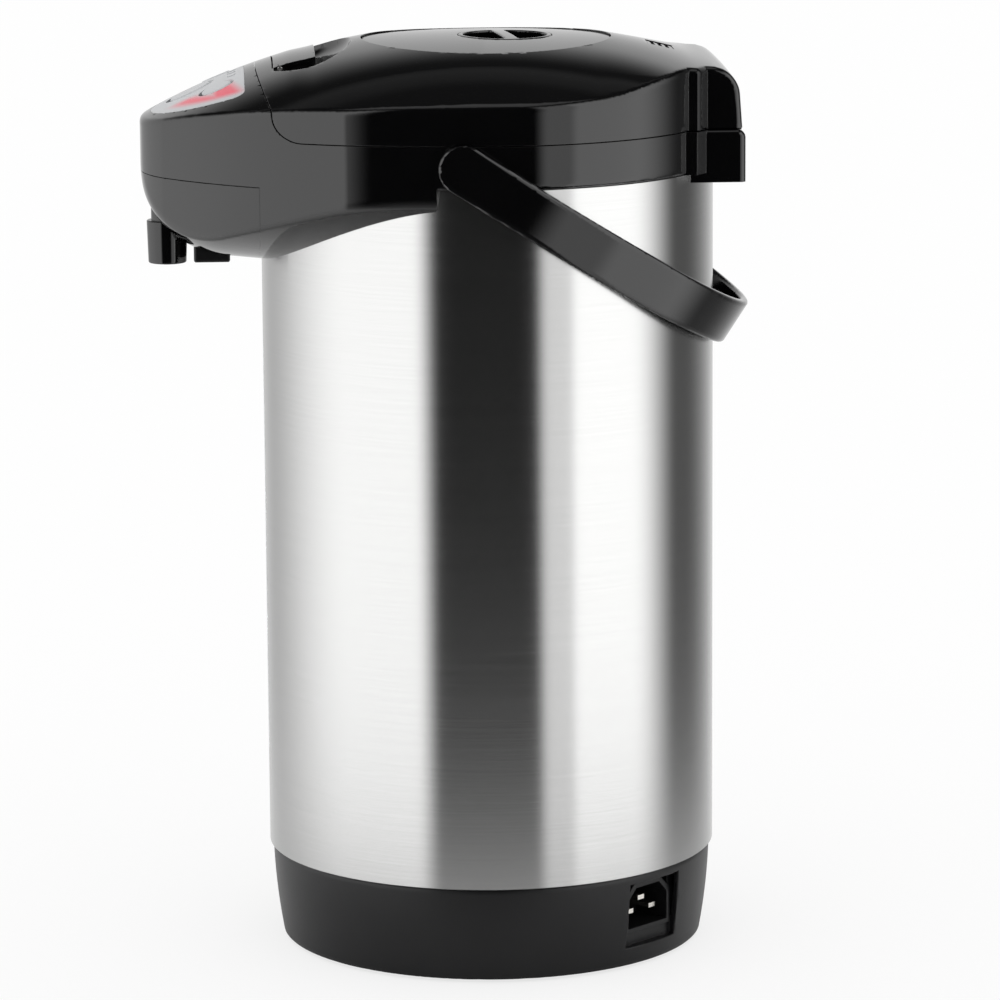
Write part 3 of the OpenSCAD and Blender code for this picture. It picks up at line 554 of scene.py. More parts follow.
def crownShift(x, y):
    # how the lid's top departs from the barrel: its spine is lower fore and aft, and towards the hinge
    # it is flatter across
    s = headShape
    fore, aft = smooth(y, *s["spineFront"]), 1 - smooth(y, *s["spineRear"])
    spine = -s["spineFall"] * fore * aft * np.clip(1 - (x / s["spineHalf"]) ** 2, 0, 1)
    rearPart = np.clip((y - s["rearFrom"]) / s["rearLong"], 0, 1) ** 2
    return spine + rearPart * (s["rearRise"] + s["rearSpread"] * (x / s["rearHalf"]) ** 2)


def crownOf(x, y, z, inset=0):
    # slack barrel: the long circle fore and aft, the cross circle side to side
    s = headShape
    reach = np.hypot(y, z - crownShift(x, y) - s["crownCentre"])
    return np.hypot(x, reach - (s["crownLong"] - s["crownAcross"])) - s["crownAcross"] + inset


def crownHeight(x, y):
    s = headShape
    inner = s["crownLong"] - s["crownAcross"] + np.sqrt(s["crownAcross"] ** 2 - x ** 2)
    return s["crownCentre"] + np.sqrt(inner ** 2 - y ** 2)


def keelOf(x, y, z, inset=0):
    # underside: turned about a line along Y above it, a straight slope that ends in the chin's circle
    s = headShape
    slope = math.radians(s["keelSlope"])
    reach = np.hypot(x, z - s["keelCentre"]) - s["chinDrop"]
    ahead = -y - s["chinReach"]
    straight = reach * math.cos(slope) + ahead * math.sin(slope) - s["chinRadius"] + s["keelLift"]
    chin = np.where(reach > 0, np.hypot(reach, ahead), ahead) - s["chinRadius"]
    under = np.where(ahead < s["chinRadius"] * math.sin(slope), straight, chin) + inset
    under = np.where(y > s["keelEnd"], outOfReach, under)
    collar = np.where(y > s["collarFrom"], s["collarLow"] - z + inset, outOfReach)
    return np.minimum(under, collar)


def headForm(x, y, z, inset=0, crease=0):
    blend = headShape["chinBlend"] if crease else 0
    body = largest(blend, planOf(x, y, inset), keelOf(x, y, z, inset))
    return largest(crease, body, crownOf(x, y, z, inset))


def lidZone(x, y, z, gap):
    # the front seam is a wide arc in plan that bows forwards
    s = headShape
    front = np.hypot(x, y + s["seamFront"] - s["seamRadius"]) - s["seamRadius"]
    return largest(s["seamRound"] - gap, front + gap, s["seamHeight"] + gap - z)


def onPanel(x, y, z, at):
    # distance from a line through a point of the top, leaning back with the panel
    tilt = math.radians(headShape["panelTilt"])
    height = crownHeight(at[0], at[1])
    return np.hypot(x - at[0], (y - at[1]) * math.cos(tilt) + (z - height) * math.sin(tilt))


panel = {"middle": -92.8, "radius": 47.6, "rear": -101.3, "round": 5, "gap": 0.05, "thick": 2.2,
         "edge": 0.25, "holeEdge": 0.2, "keyGap": 0.3, "lensHole": 1.7,
         "lenses": ((-8, -106.5), (0, -106.5), (8, -106.5)), "step": (0.7, 0.7, 0.5)}


def panelZone(x, y, grow=0):
    return largest(panel["round"], np.hypot(x, y - panel["middle"]) - panel["radius"] - grow,
                   y - panel["rear"] - grow)


rear = {"lobeHalf": 46.5, "lobeRadius": 100.2, "lobeBack": 103.6, "lobeBackAt": 347, "lobeLean": 0.07,
        "lobeInside": 96.9, "blockHalf": 48.5, "blockBack": 104.5, "blockLow": 328.3, "blockTop": 350.0,
        "blockRound": 3.5, "bandRadius": 100.5, "bandShift": 1.5, "bandFrom": 40, "blockFrom": 70,
        "flareFrom": 84, "flareTo": 92, "flare": 0.875, "flareSteep": 0.8, "round": 7, "side": 2.4,
        "edge": 0.5}


def flared(side, y, half, shift=0):
    # the sides open forwards from the straight part, up to the front end of the flare
    widen = np.clip(rear["flareTo"] + shift - y, 0, rear["flareTo"] - rear["flareFrom"]) * rear["flare"]
    return (side - half - widen) * rear["flareSteep"]


def hingeBlock(x, y, z):
    side = np.abs(x)
    sides = flared(side, y, rear["blockHalf"], rear["bandShift"])
    band = largest(rear["edge"], np.hypot(x, y) - rear["bandRadius"], sides, headShape["collarLow"] - z,
                   z - rear["blockTop"], rear["bandFrom"] - y)
    back = largest(rear["blockRound"], y - rear["blockBack"], z - rear["blockTop"])
    middle = largest(rear["edge"], largest(rear["side"], side - rear["blockHalf"], back),
                     rear["blockLow"] - z, rear["blockFrom"] - y)
    return largest(0, np.minimum(band, middle), hood["mouth"] - np.hypot(x, y))


hood = {"edge": 0.12, "softEdge": 0.3, "rimInside": 98.1, "mouth": 86.4, "shellRoom": 93,
        "ledgeReach": (80.4, 95.5), "ledgeHeight": (340, 343.9),
        "boss": {"radius": 8.2, "from": 88.5, "to": 98.8, "edge": 0.5, "bore": 4.05},
        "hookRoom": ((-8.6, 8.6), (-101, -90), (353.4, 361.6)),
        "tubeHole": {"z": 336, "radius": 5.1, "front": -100, "back": -78}, "step": 1.2}
spoutCover = {"partingHeight": 331.4, "backFace": -96, "gap": 0.3, "reachInside": 94.6, "insideBack": -98.6,
              "nozzleHole": 8.7, "guardHole": ((-14.3, 14.3), (-123.6, -108.1), (280, 305)),
              "edge": 0.5, "step": 1.0}


def hoodField(x, y, z):
    side, reach = np.abs(x), np.hypot(x, y)
    wall, collarLow, boss, tube = headShape["wall"], headShape["collarLow"], hood["boss"], hood["tubeHole"]
    outside = without(hood["edge"], headForm(x, y, z, 0, headShape["creaseRadius"]), lidZone(x, y, z, 0))
    inner = without(0, headForm(x, y, z, wall),
                    largest(0, reach - hood["rimInside"], z - headShape["seamHeight"]), lidZone(x, y, z, -wall))
    coverRoom = largest(0, z - spoutCover["partingHeight"], y - spoutCover["backFace"])
    form = without(0, outside, inner, coverRoom, panelZone(x, y, panel["gap"]))
    form = np.minimum(form, hingeBlock(x, y, z))
    form = without(hood["softEdge"], form, largest(0, reach - hood["shellRoom"], z - collarLow),
                   reach - hood["mouth"])
    form = np.minimum(form, block(reach, 0 * y, z, hood["ledgeReach"], (-1, 1), hood["ledgeHeight"]))
    ownPin = pinAlong(y - handle["pivot"][1], z - handle["pivot"][2], 0)
    form = np.minimum(form, largest(boss["edge"], ownPin - boss["radius"], boss["from"] - side,
                                    side - boss["to"]))
    hingePin = pinAlong(y - hinge["y"], z - hinge["z"], hinge["bore"])
    tubeHole = largest(0, pinAlong(x, z - tube["z"], tube["radius"]), y - tube["back"], tube["front"] - y)
    return without(hood["softEdge"], form, ownPin - boss["bore"], block(side, y, z, *hinge["room"]),
                   largest(0, hingePin, side - hinge["pinHalf"]), block(x, y, z, *hood["hookRoom"]), tubeHole)


def spoutCoverField(x, y, z):
    cover = spoutCover
    outside = headForm(x, y, z, 0, headShape["creaseRadius"])
    outside = largest(hood["softEdge"], outside, z - cover["partingHeight"] + cover["gap"])
    outside = largest(0, outside, y - cover["backFace"], cover["reachInside"] - np.hypot(x, y))
    inner = largest(0, headForm(x, y, z, headShape["wall"]), y - cover["insideBack"])
    return without(cover["edge"], outside, inner, np.hypot(x, y - nozzle["at"]) - cover["nozzleHole"],
                   block(x, y, z, *cover["guardHole"]))


lid = {"edge": 0.12, "cutEdge": 0.2, "gap": 0.4, "wall": 2.6, "seamWall": 3, "plateHole": 52.4,
       "ventHole": ((-8.1, 8.1), (67.4, 78.6), (360, 400)), "latchWalls": ((-46, 46), (-94, -52), (362, 400)),
       "guideRadius": 54.8, "guideLow": 362, "linerRoomTop": 352.6, "linerRoomFront": -83.1,
       "leverRoom": ((-24.8, 24.8), (-89.9, -71.4), (369, 400)),
       "hookRooms": (((-8.8, 8.8), (-89.9, -73), (352, 380)), ((-8.6, 8.6), (-99, -80), (354, 361.4))),
       "step": 1.25}
# the finger recess is half an egg below the crown, cut off in front of the lever
scoop = {"at": -76.5, "half": (37.5, 20), "deep": 9.5, "front": -89.2, "steep": 8}


def lobeField(x, y, z):
    # the rounded rear of the lid that hides the hinge
    side, reach = np.abs(x), np.hypot(x, y)
    ends = np.minimum(largest(rear["edge"], reach - rear["lobeRadius"], flared(side, y, rear["lobeHalf"])),
                      side - rear["lobeHalf"])
    back = y - rear["lobeBack"] + (z - rear["lobeBackAt"]) * rear["lobeLean"]
    low = rear["blockTop"] + lid["gap"]
    lobe = largest(rear["side"], ends, largest(rear["round"], back, crownOf(x, y, z)))
    lobe = largest(rear["edge"], lobe, low - z, rear["bandFrom"] - y)
    return largest(0, lobe, np.minimum(rear["lobeInside"] - reach, low - z))


def knuckleField(x, y, z):
    up = z - hinge["z"]
    behind, radius = y - hinge["y"], hinge["knuckleRadius"]
    neck = largest(0, np.abs(behind) - radius, -up, z - hinge["top"])
    return largest(0, np.abs(np.abs(x) - hinge["knuckleAt"]) - hinge["knuckleHalf"],
                   np.minimum(pinAlong(behind, up, radius), neck))


def scoopField(x, y, z):
    parts = x / scoop["half"][0], (y - scoop["at"]) / scoop["half"][1], crownOf(x, y, z) / scoop["deep"]
    egg = (np.sqrt(parts[0] ** 2 + parts[1] ** 2 + parts[2] ** 2) - 1) * scoop["steep"]
    return np.maximum(egg, scoop["front"] - y)


def lidField(x, y, z):
    reach = np.hypot(x, y)
    main = largest(lid["edge"], headForm(x, y, z, 0, headShape["creaseRadius"]), lidZone(x, y, z, lid["gap"]))
    form = np.minimum(main, lobeField(x, y, z))
    inner = largest(0, headForm(x, y, z, lid["wall"]), lidZone(x, y, z, lid["seamWall"]))
    guide = largest(0, reach - lid["guideRadius"], lid["guideLow"] - z)
    inner = without(0, inner, block(x, y, z, *lid["latchWalls"]), guide)
    below = largest(0, planOf(x, y, headShape["wall"]), z - lid["linerRoomTop"], lid["linerRoomFront"] - y)
    form = np.minimum(without(0, form, inner, below), knuckleField(x, y, z))
    hookRooms = [block(x, y, z, *room) for room in lid["hookRooms"]]
    return without(lid["cutEdge"], form, reach - lid["plateHole"], scoopField(x, y, z),
                   block(x, y, z, *lid["leverRoom"]), np.minimum(*hookRooms), block(x, y, z, *lid["ventHole"]),
                   pinAlong(y - hinge["y"], z - hinge["z"], hinge["bore"]))


plate = {"radius": 52, "rim": 384.0, "top": 385.75, "fallAcross": 2.7, "fallAlong": 1.5, "low": 366,
         "underRadius": 50, "underTop": 381.4, "knobWall": 22, "wellRadius": 19.9, "wellFloor": 375,
         "axleHole": 4.05, "knobBack": 8, "edge": 0.7, "holeEdge": 0.5, "step": 0.9}
knob = {"radius": 19.6, "ballGrow": 0.2, "wellRadius": 17.6, "wellDepth": 5.5, "wellRound": 1.2,
        "barHalf": 2.8, "barTurn": -7, "low": 375.2, "axle": {"radius": 4, "low": 370, "top": 376},
        "edge": 0.7, "step": 0.55}


def dome(x, y, z, grow=0.0):
    # the plate carries on the lid's crown: it falls more to the sides than fore and aft
    fall = (plate["fallAcross"] * x ** 2 + plate["fallAlong"] * y ** 2) / plate["radius"] ** 2
    return z - plate["top"] + fall - grow


def plateField(x, y, z):
    reach, knobReach = np.hypot(x, y), np.hypot(x, y - plate["knobBack"])
    form = largest(plate["edge"], reach - plate["radius"], dome(x, y, z), plate["low"] - z)
    under = largest(0, reach - plate["underRadius"], z - plate["underTop"], plate["knobWall"] - knobReach)
    well = largest(0, knobReach - plate["wellRadius"], plate["wellFloor"] - z)
    return without(plate["holeEdge"], form, under, well, knobReach - plate["axleHole"])


def knobField(x, y, z):
    reach = np.hypot(x, y - plate["knobBack"])
    top = largest(knob["edge"], reach - knob["radius"], dome(x, y, z, knob["ballGrow"]), knob["low"] - z)
    turn = math.radians(knob["barTurn"])
    acrossBar = np.abs((y - plate["knobBack"]) * math.cos(turn) + x * math.sin(turn))
    well = largest(knob["wellRound"], reach - knob["wellRadius"], plate["rim"] - knob["wellDepth"] - z,
                   knob["barHalf"] - acrossBar)
    axle = largest(0, reach - knob["axle"]["radius"], knob["axle"]["low"] - z, z - knob["axle"]["top"])
    return np.minimum(without(knob["edge"], top, well), axle)


lever = {"half": 24.2, "front": -89.4, "back": -71.8, "low": 360, "thick": 3.0, "solidTo": -83.4,
         "rise": 0.3, "riseLong": 14.7, "rollRadius": 3, "bore": 1.06, "edge": 0.4, "step": 0.7}
latchPin = {"radius": 1, "half": 24.4, "edge": 0.2, "step": 0.4}
vent = {"middle": 73, "half": (8, 5.5), "sunk": 0.3, "low": 372, "edge": 0.5, "holeEdge": 0.3, "slotLong": 5.5,
        "slotHalf": 0.7, "slotPitch": 3, "slotAt": 70, "slotsHalf": 4, "step": 0.4}


def leverField(x, y, z):
    # its top stands a little proud of the lid at the end that the finger lifts
    side = np.abs(x)
    behind, up = y - latchAxis["y"], z - latchAxis["z"]
    rise = np.clip(behind / lever["riseLong"], 0, 1) * lever["rise"]
    form = largest(lever["edge"], headForm(x, y, z - rise), side - lever["half"], lever["front"] - y,
                   y - lever["back"], lever["low"] - z)
    form = np.maximum(form, -np.maximum(headForm(x, y, z, lever["thick"]), lever["solidTo"] - y))
    roll = largest(lever["edge"], pinAlong(behind, up, lever["rollRadius"]), side - lever["half"],
                   headForm(x, y, z))
    return without(0, np.minimum(form, roll), pinAlong(behind, up, lever["bore"]))


def latchPinField(x, y, z):
    # slim and short, so that it stays under the lid's top
    return largest(latchPin["edge"], pinAlong(y - latchAxis["y"], z - latchAxis["z"], latchPin["radius"]),
                   np.abs(x) - latchPin["half"])


def ventField(x, y, z):
    side, along, pitch = np.abs(x), np.abs(y - vent["middle"]), vent["slotPitch"]
    form = largest(vent["edge"], headForm(x, y, z, vent["sunk"]), side - vent["half"][0],
                   along - vent["half"][1], vent["low"] - z)
    fromSlot = np.abs((y - vent["slotAt"] + pitch / 2) % pitch - pitch / 2)
    slots = largest(0, side - vent["slotLong"], fromSlot - vent["slotHalf"], along - vent["slotsHalf"])
    return without(vent["holeEdge"], form, slots)


# the handle is made lying level about its pivot, and tilted afterwards
handle = {"half": 103.4, "round": 101.3, "reach": 142.4, "strap": 3.8, "width": 20, "rest": 33,
          "pivot": (0, -14.7, 341.6), "seat": 101.2, "seatRadius": 6.2, "edge": 1.3, "seatEdge": 0.3,
          "step": 1.1}
handlePin = {"radius": 3.9, "inner": 89, "edge": 0.4, "headRadius": 5.9, "headInner": 99.9, "headEdge": 0.3,
             "end": 101, "step": 0.9}


def handlePlan(x, y, inset):
    # cheek arcs that run tangent into one rear arc
    h = handle
    cheek = h["half"] + h["round"]
    tail = (h["round"] ** 2 + h["reach"] ** 2 - cheek ** 2) / (2 * (h["reach"] - cheek))
    centre = h["reach"] - tail
    turn = math.atan2(centre, h["round"])
    join = centre + (tail - inset) * math.sin(turn)
    cheeks = np.hypot(np.abs(x) + h["round"], y) - cheek
    return np.where(y < join, cheeks, np.hypot(x, y - centre) - tail) + inset


def handleField(x, y, z):
    ring = largest(handle["edge"], handlePlan(x, y, 0), -handlePlan(x, y, handle["strap"]),
                   np.where(y < 0, np.hypot(y, z), np.abs(z)) - handle["width"] / 2)
    seat = largest(0, pinAlong(y, z, handle["seatRadius"]), np.abs(x) - handle["seat"])
    return without(handle["seatEdge"], ring, seat)


def pinsField(x, y, z):
    side = np.abs(x)
    reach = pinAlong(y - handle["pivot"][1], z - handle["pivot"][2], 0)
    shank = largest(handlePin["edge"], reach - handlePin["radius"], handlePin["inner"] - side,
                    side - handlePin["end"])
    return np.minimum(shank, largest(handlePin["headEdge"], reach - handlePin["headRadius"],
                                     handlePin["headInner"] - side, side - handlePin["end"]))


nozzle = {"at": -134.5, "radius": 8, "taper": 36, "low": 291.5, "top": 309.5, "edge": 0.6,
          "neck": {"radius": 6.6, "low": 309, "top": 315.5}, "mouth": {"radius": 6.3, "top": 298},
          "way": 3.2, "socket": {"radius": 4.9, "low": 310}, "holeEdge": 0.4, "step": 0.5}
guard = {"outside": ((-14, 14), (-123.4, -108.3), (293, 304)), "round": 1.0,
         "inside": ((-12, 12), (-121.6, -110), (290, 302)), "edge": 0.4, "step": 0.6}


def nozzleField(x, y, z):
    n = nozzle
    reach = np.hypot(x, y - n["at"])
    cone = largest(n["edge"], reach - n["radius"] - (z - n["low"]) / n["taper"], n["low"] - z, z - n["top"])
    neck = largest(0, reach - n["neck"]["radius"], n["neck"]["low"] - z, z - n["neck"]["top"])
    mouth = largest(0, reach - n["mouth"]["radius"], z - n["mouth"]["top"])
    socket = largest(0, reach - n["socket"]["radius"], n["socket"]["low"] - z)
    return without(n["holeEdge"], np.minimum(cone, neck), mouth, reach - n["way"], socket)


def guardField(x, y, z):
    form = block(x, y, z, *guard["outside"], guard["round"])
    return without(guard["edge"], form, block(x, y, z, *guard["inside"]))


# each key: piece, node, where it stands, radius, half lengths and heights of its grid, step
keys = (("pourKey", "pour_button", (0, -124), 9, (11, 12), (350, 376), 0.6),
        ("boilKey", "boil_button", (21, -113), 6.5, (9, 9), (352, 378), 0.5),
        ("unlockKey", "unlock_button", (-21, -113), 6.5, (9, 9), (352, 378), 0.5))
keyShape = {"proud": 0.3, "round": 0.8, "deep": 5, "flange": 1.4, "flangeTop": 4.9, "flangeDeep": 7.5,
            "flangeEdge": 0.3}


def filmField(x, y, z):
    # z is counted from the crown, so that the film is a flat slab here
    tilt = math.cos(math.radians(headShape["panelTilt"]))
    form = largest(panel["edge"], panelZone(x, y), planOf(x, y), z, -panel["thick"] - z)
    rounds = [(key[2], key[3] + panel["keyGap"]) for key in keys]
    rounds += [(at, panel["lensHole"]) for at in panel["lenses"]]
    holes = [np.hypot(x - at[0], (y - at[1]) * tilt) - radius for at, radius in rounds]
    return without(panel["holeEdge"], form, *holes)


def keyField(at, radius):
    k = keyShape

    def field(x, y, z):
        tilt = math.radians(headShape["panelTilt"])
        height = crownHeight(at[0], at[1])
        depth = (z - height) * math.cos(tilt) - (y - at[1]) * math.sin(tilt)
        reach = onPanel(x, y, z, at)
        stem = largest(k["round"], reach - radius, crownOf(x, y, z, -k["proud"]), -k["deep"] - depth)
        return np.minimum(stem, largest(k["flangeEdge"], reach - radius - k["flange"],
                                        -k["flangeDeep"] - depth, depth + k["flangeTop"]))
    return field


base = {"bowRadius": 250, "bowCentre": (-156.42, 47.2), "seam": 41, "foot": 1.5, "wall": 2.6,
        "insideRadius": 91.2, "floorTop": 4.5, "openRadius": 80, "openTop": 9,
        "padRadius": 88.5, "padLow": 2.5, "padFrom": 76, "padHalf": 20,
        "panelAt": 87, "panelHalf": 15.5, "panelLow": 9.5, "panelTop": 37.2,
        "holeOut": (60, 88), "holeHalf": (13.9, 9.9), "edge": 0.8, "insideEdge": 0.4, "recessEdge": 0.6,
        "step": 1.25}
post = {"turn": 5, "at": 74, "radius": 4, "low": 7.4, "top": 33.4, "ribHalf": 1.2, "ribFrom": 76, "ribTo": 89,
        "ribTop": 33, "hole": 1.4, "holeTop": 26}
inlet = {"out": 87, "height": 25.2, "half": (12.4, 8.4), "corner": 5, "cornerGrow": 0.4, "edge": 0.4,
         "body": (1.4, -18, 0.6), "flange": (2, 0.05, 1.25), "mouthDeep": 16,
         "pins": ((-7, -2.2), (7, -2.2), (0, 2.6)), "pinHalf": (2.05, 1.05), "step": 0.7}


def inletFrame(x, y):
    half = math.sqrt(0.5)
    return (x + y) * half, (y - x) * half


def baseField(x, y, z):
    b, p = base, post
    reach = np.hypot(x, y)
    out, side = inletFrame(x, y)
    bow = np.hypot(reach - b["bowCentre"][0], z - b["bowCentre"][1]) - b["bowRadius"]
    form = largest(b["edge"], bow, z - b["seam"], b["foot"] - z)
    inner = largest(0, bow + b["wall"], reach - b["insideRadius"], b["floorTop"] - z)
    form = without(b["insideEdge"], form, inner, largest(0, reach - b["openRadius"], z - b["openTop"]))
    pad = largest(0, reach - b["padRadius"], b["padLow"] - z, z - b["seam"], b["padFrom"] - out,
                  np.abs(side) - b["padHalf"])
    form = np.minimum(form, pad)
    # four screw posts, each with a rib to the wall, folded onto one quarter of the ring
    quarter = (np.arctan2(y, x) - math.radians(p["turn"]) + math.pi / 4) % (math.pi / 2) - math.pi / 4
    along, beside = reach * np.cos(quarter), reach * np.sin(quarter)
    fromPost = np.hypot(along - p["at"], beside)
    rib = largest(0, np.abs(beside) - p["ribHalf"], p["ribFrom"] - along, along - p["ribTo"],
                  p["low"] - z, z - p["ribTop"])
    form = np.minimum(form, np.minimum(largest(0, fromPost - p["radius"], p["low"] - z, z - p["top"]), rib))
    recess = largest(0, b["panelAt"] - out, np.abs(side) - b["panelHalf"], b["panelLow"] - z,
                     z - b["panelTop"])
    hole = largest(0, out - b["holeOut"][1], b["holeOut"][0] - out, np.abs(side) - b["holeHalf"][0],
                   np.abs(z - inlet["height"]) - b["holeHalf"][1])
    return without(b["recessEdge"], form, recess, hole, largest(0, fromPost - p["hole"], z - p["holeTop"]))


def inletOutline(side, height, grow):
    # a box with its two upper corners cut off
    wide, tall = inlet["half"][0] + grow, inlet["half"][1] + grow
    cut = inlet["corner"] + grow * inlet["cornerGrow"]
    slant = (np.abs(side) - wide + height - tall + cut) / math.sqrt(2)
    return largest(0, np.abs(side) - wide, np.abs(height) - tall, slant)


def inletField(x, y, z):
    out, side = inletFrame(x, y)
    out, height = out - inlet["out"], z - inlet["height"]
    parts = [largest(inlet["edge"], inletOutline(side, height, grow), first - out, out - last)
             for grow, first, last in (inlet["body"], inlet["flange"])]
    mouth = largest(0, inletOutline(side, height, 0), -inlet["mouthDeep"] - out)
    wide, tall = inlet["pinHalf"]
    holes = [largest(0, np.abs(side - a) - wide, np.abs(height - b) - tall) for a, b in inlet["pins"]]
    return without(0, without(inlet["edge"], np.minimum(*parts), mouth), *holes)


shell = {"radius": 95, "wall": 0.8, "low": 41.35, "top": 332.2, "edge": 0.3, "slotHalf": 7.5, "slotLow": 79.5,
         "slotTop": 260.5, "turns": 720, "rows": 60, "rowMargin": 4, "slotMargin": 1.5}


def makeShell(shape, material):
    # a tube on a grid of turns and heights; the cells of the gauge slot at the front are left out,
    # and every border of the sheet is closed between its outer and inner face
    turn = np.linspace(-math.pi, math.pi, shape["turns"], endpoint=False)
    slotTurn = math.asin(shape["slotHalf"] / shape["radius"])
    turn = np.sort(np.concatenate([turn, [-math.pi / 2 - slotTurn, -math.pi / 2 + slotTurn]]))
    margin, clear = shape["rowMargin"], shape["slotHalf"] + shape["slotMargin"]
    height = np.sort(np.concatenate([
        [shape["low"], shape["low"] + shape["edge"], shape["slotLow"], shape["slotTop"],
         shape["top"] - shape["edge"], shape["top"]],
        [h for h in np.linspace(shape["low"] + margin, shape["top"] - margin, shape["rows"])
         if min(abs(h - shape["slotLow"]), abs(h - shape["slotTop"])) > clear]]))
    inset = np.zeros(len(height))
    inset[[0, -1]] = shape["edge"]
    wide, tall = len(turn), len(height)
    outer = shape["radius"] - inset[:, None] + 0 * turn
    inner = shape["radius"] - shape["wall"] + 0 * outer
    reach = np.stack([inner, outer])
    # the slot's ends are half circles: its two end rows bow inwards by a circle's height
    offset = np.abs(turn + math.pi / 2) * shape["radius"] / shape["slotHalf"]
    bow = np.where(offset < 1.01, shape["slotHalf"] * (1 - np.sqrt(1 - np.minimum(offset, 1) ** 2)), 0)
    level = height[:, None] + 0 * turn
    level[height == shape["slotLow"]] += bow
    level[height == shape["slotTop"]] -= bow
    spots = np.stack([reach * np.cos(turn), reach * np.sin(turn),
                      np.broadcast_to(level, reach.shape)], -1).reshape(-1, 3)
    row, column = np.meshgrid(np.arange(tall - 1), np.arange(wide), indexing="ij")
    middleTurn = (turn + np.roll(turn, -1)) / 2
    middleTurn[-1] = math.pi
    middleHeight = (height[:-1] + height[1:]) / 2
    inSlot = (middleHeight > shape["slotLow"]) & (middleHeight < shape["slotTop"])
    keep = ~(inSlot[:, None] & (np.abs(middleTurn + math.pi / 2) < slotTurn))

    def at(layer, r, c):
        return layer * tall * wide + r * wide + c % wide

    faces = []
    r, c = row[keep], column[keep]
    faces.append(np.stack([at(1, r, c), at(1, r, c + 1), at(1, r + 1, c + 1), at(1, r + 1, c)], 1))
    faces.append(np.stack([at(0, r, c), at(0, r + 1, c), at(0, r + 1, c + 1), at(0, r, c + 1)], 1))
    padded = np.zeros((tall + 1, wide), bool)
    padded[1:-1] = keep
    for sign in (1, -1):
        border = padded[1:] & ~padded[:-1] if sign == 1 else padded[:-1] & ~padded[1:]
        r, c = np.nonzero(border)
        ring = np.stack([at(0, r, c), at(0, r, c + 1), at(1, r, c + 1), at(1, r, c)], 1)
        faces.append(ring[:, ::sign])
    for sign in (1, -1):
        border = keep & ~np.roll(keep, sign, 1)
        r, c = np.nonzero(border)
        c = c if sign == 1 else c + 1
        ring = np.stack([at(0, r, c), at(1, r, c), at(1, r + 1, c), at(0, r + 1, c)], 1)
        faces.append(ring[:, ::sign])
    faces = np.concatenate(faces)
    used, faces = np.unique(faces, return_inverse=True)
    return makePiece("steelShell", spots[used], faces.reshape(-1, 4), material)


def tilted(spots, degrees, pivot):
    turn = math.radians(degrees)
    x, y, z = spots.T
    return np.stack([x, y * math.cos(turn) + z * math.sin(turn),
                     z * math.cos(turn) - y * math.sin(turn)], 1) + np.array(pivot)


def settle(piece, node):
    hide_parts(node)
    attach(piece, nodes[node]["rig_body"])


def build(name, node, field, low, high, step, finish, reshape=None):
    spots, faces, facings = skinOf(field, low, high, step)
    if reshape:
        spots, facings = reshape(spots), None
    piece = makePiece(name, spots, faces, finishes[finish], facings)
    settle(piece, node)
    print(name, len(faces), "faces")
    return piece


def raisedToCrown(spots):
    return spots + np.stack([0 * spots[:, 0], 0 * spots[:, 0], crownHeight(spots[:, 0], spots[:, 1])], 1)


settle(makeShell(shell, finishes["brushedSteel"]), "outer_shell")
build("hoodAndCollar", "head_housing", hoodField, (-101, -147, 290), (101, 106, 391), hood["step"],
      "glossBlack")
build("spoutCover", "spout_cover", spoutCoverField, (-80, -147, 290), (80, -95, 333), spoutCover["step"],
      "glossBlack")
build("hingedLid", "lid_shell", lidField, (-101, -96, 337), (101, 106, 391), lid["step"], "glossBlack")
build("pumpPlate", "press_plate", plateField, (-53, -53, 365), (53, 53, 386), plate["step"], "glossBlack")
build("lockKnob", "lock_knob", knobField, (-20, -12, 369), (20, 28, 386.5), knob["step"], "glossBlack")
build("latchLever", "latch_lever", leverField, (-25.2, -90.5, 366), (25.2, -70.8, 388), lever["step"],
      "glossBlack")
build("latchPin", "latch_pin", latchPinField, (-25, -88, 373.2), (25, -85, 376.4), latchPin["step"],
      "screwSteel")
build("steamVent", "steam_vent", ventField, (-9, 67, 371), (9, 79, 386), vent["step"], "glossBlack")
build("carryHandle", "handle", handleField, (-104, -11, -11), (104, 143, 11), handle["step"], "glossBlack",
      lambda spots: tilted(spots, handle["rest"], handle["pivot"]))
build("handlePins", "handle_pins", pinsField, (-103, -21, 335), (103, -8, 348), handlePin["step"], "glossBlack")
build("pourNozzle", "nozzle", nozzleField, (-9, -144, 291), (9, -125, 316), nozzle["step"], "glossBlack")
build("nozzleFin", "nozzle_guard", guardField, (-15, -124, 292), (15, -108, 305), guard["step"], "satinBlack")
build("panelFilm", "control_film", filmField, (-50, -146, -2.6), (50, -100, 0.4), panel["step"], "panelFilm",
      raisedToCrown)
for name, node, at, radius, half, heights, step in keys:
    build(name, node, keyField(at, radius), (at[0] - half[0], at[1] - half[1], heights[0]),
          (at[0] + half[0], at[1] + half[1], heights[1]), step, "silverPlastic")
build("baseRing", "base_housing", baseField, (-95, -95, 1), (95, 95, 42), base["step"], "satinBlack")
build("inletSocket", "inlet_housing", inletField, (40, 40, 13), (75, 75, 37), inlet["step"], "satinBlack")


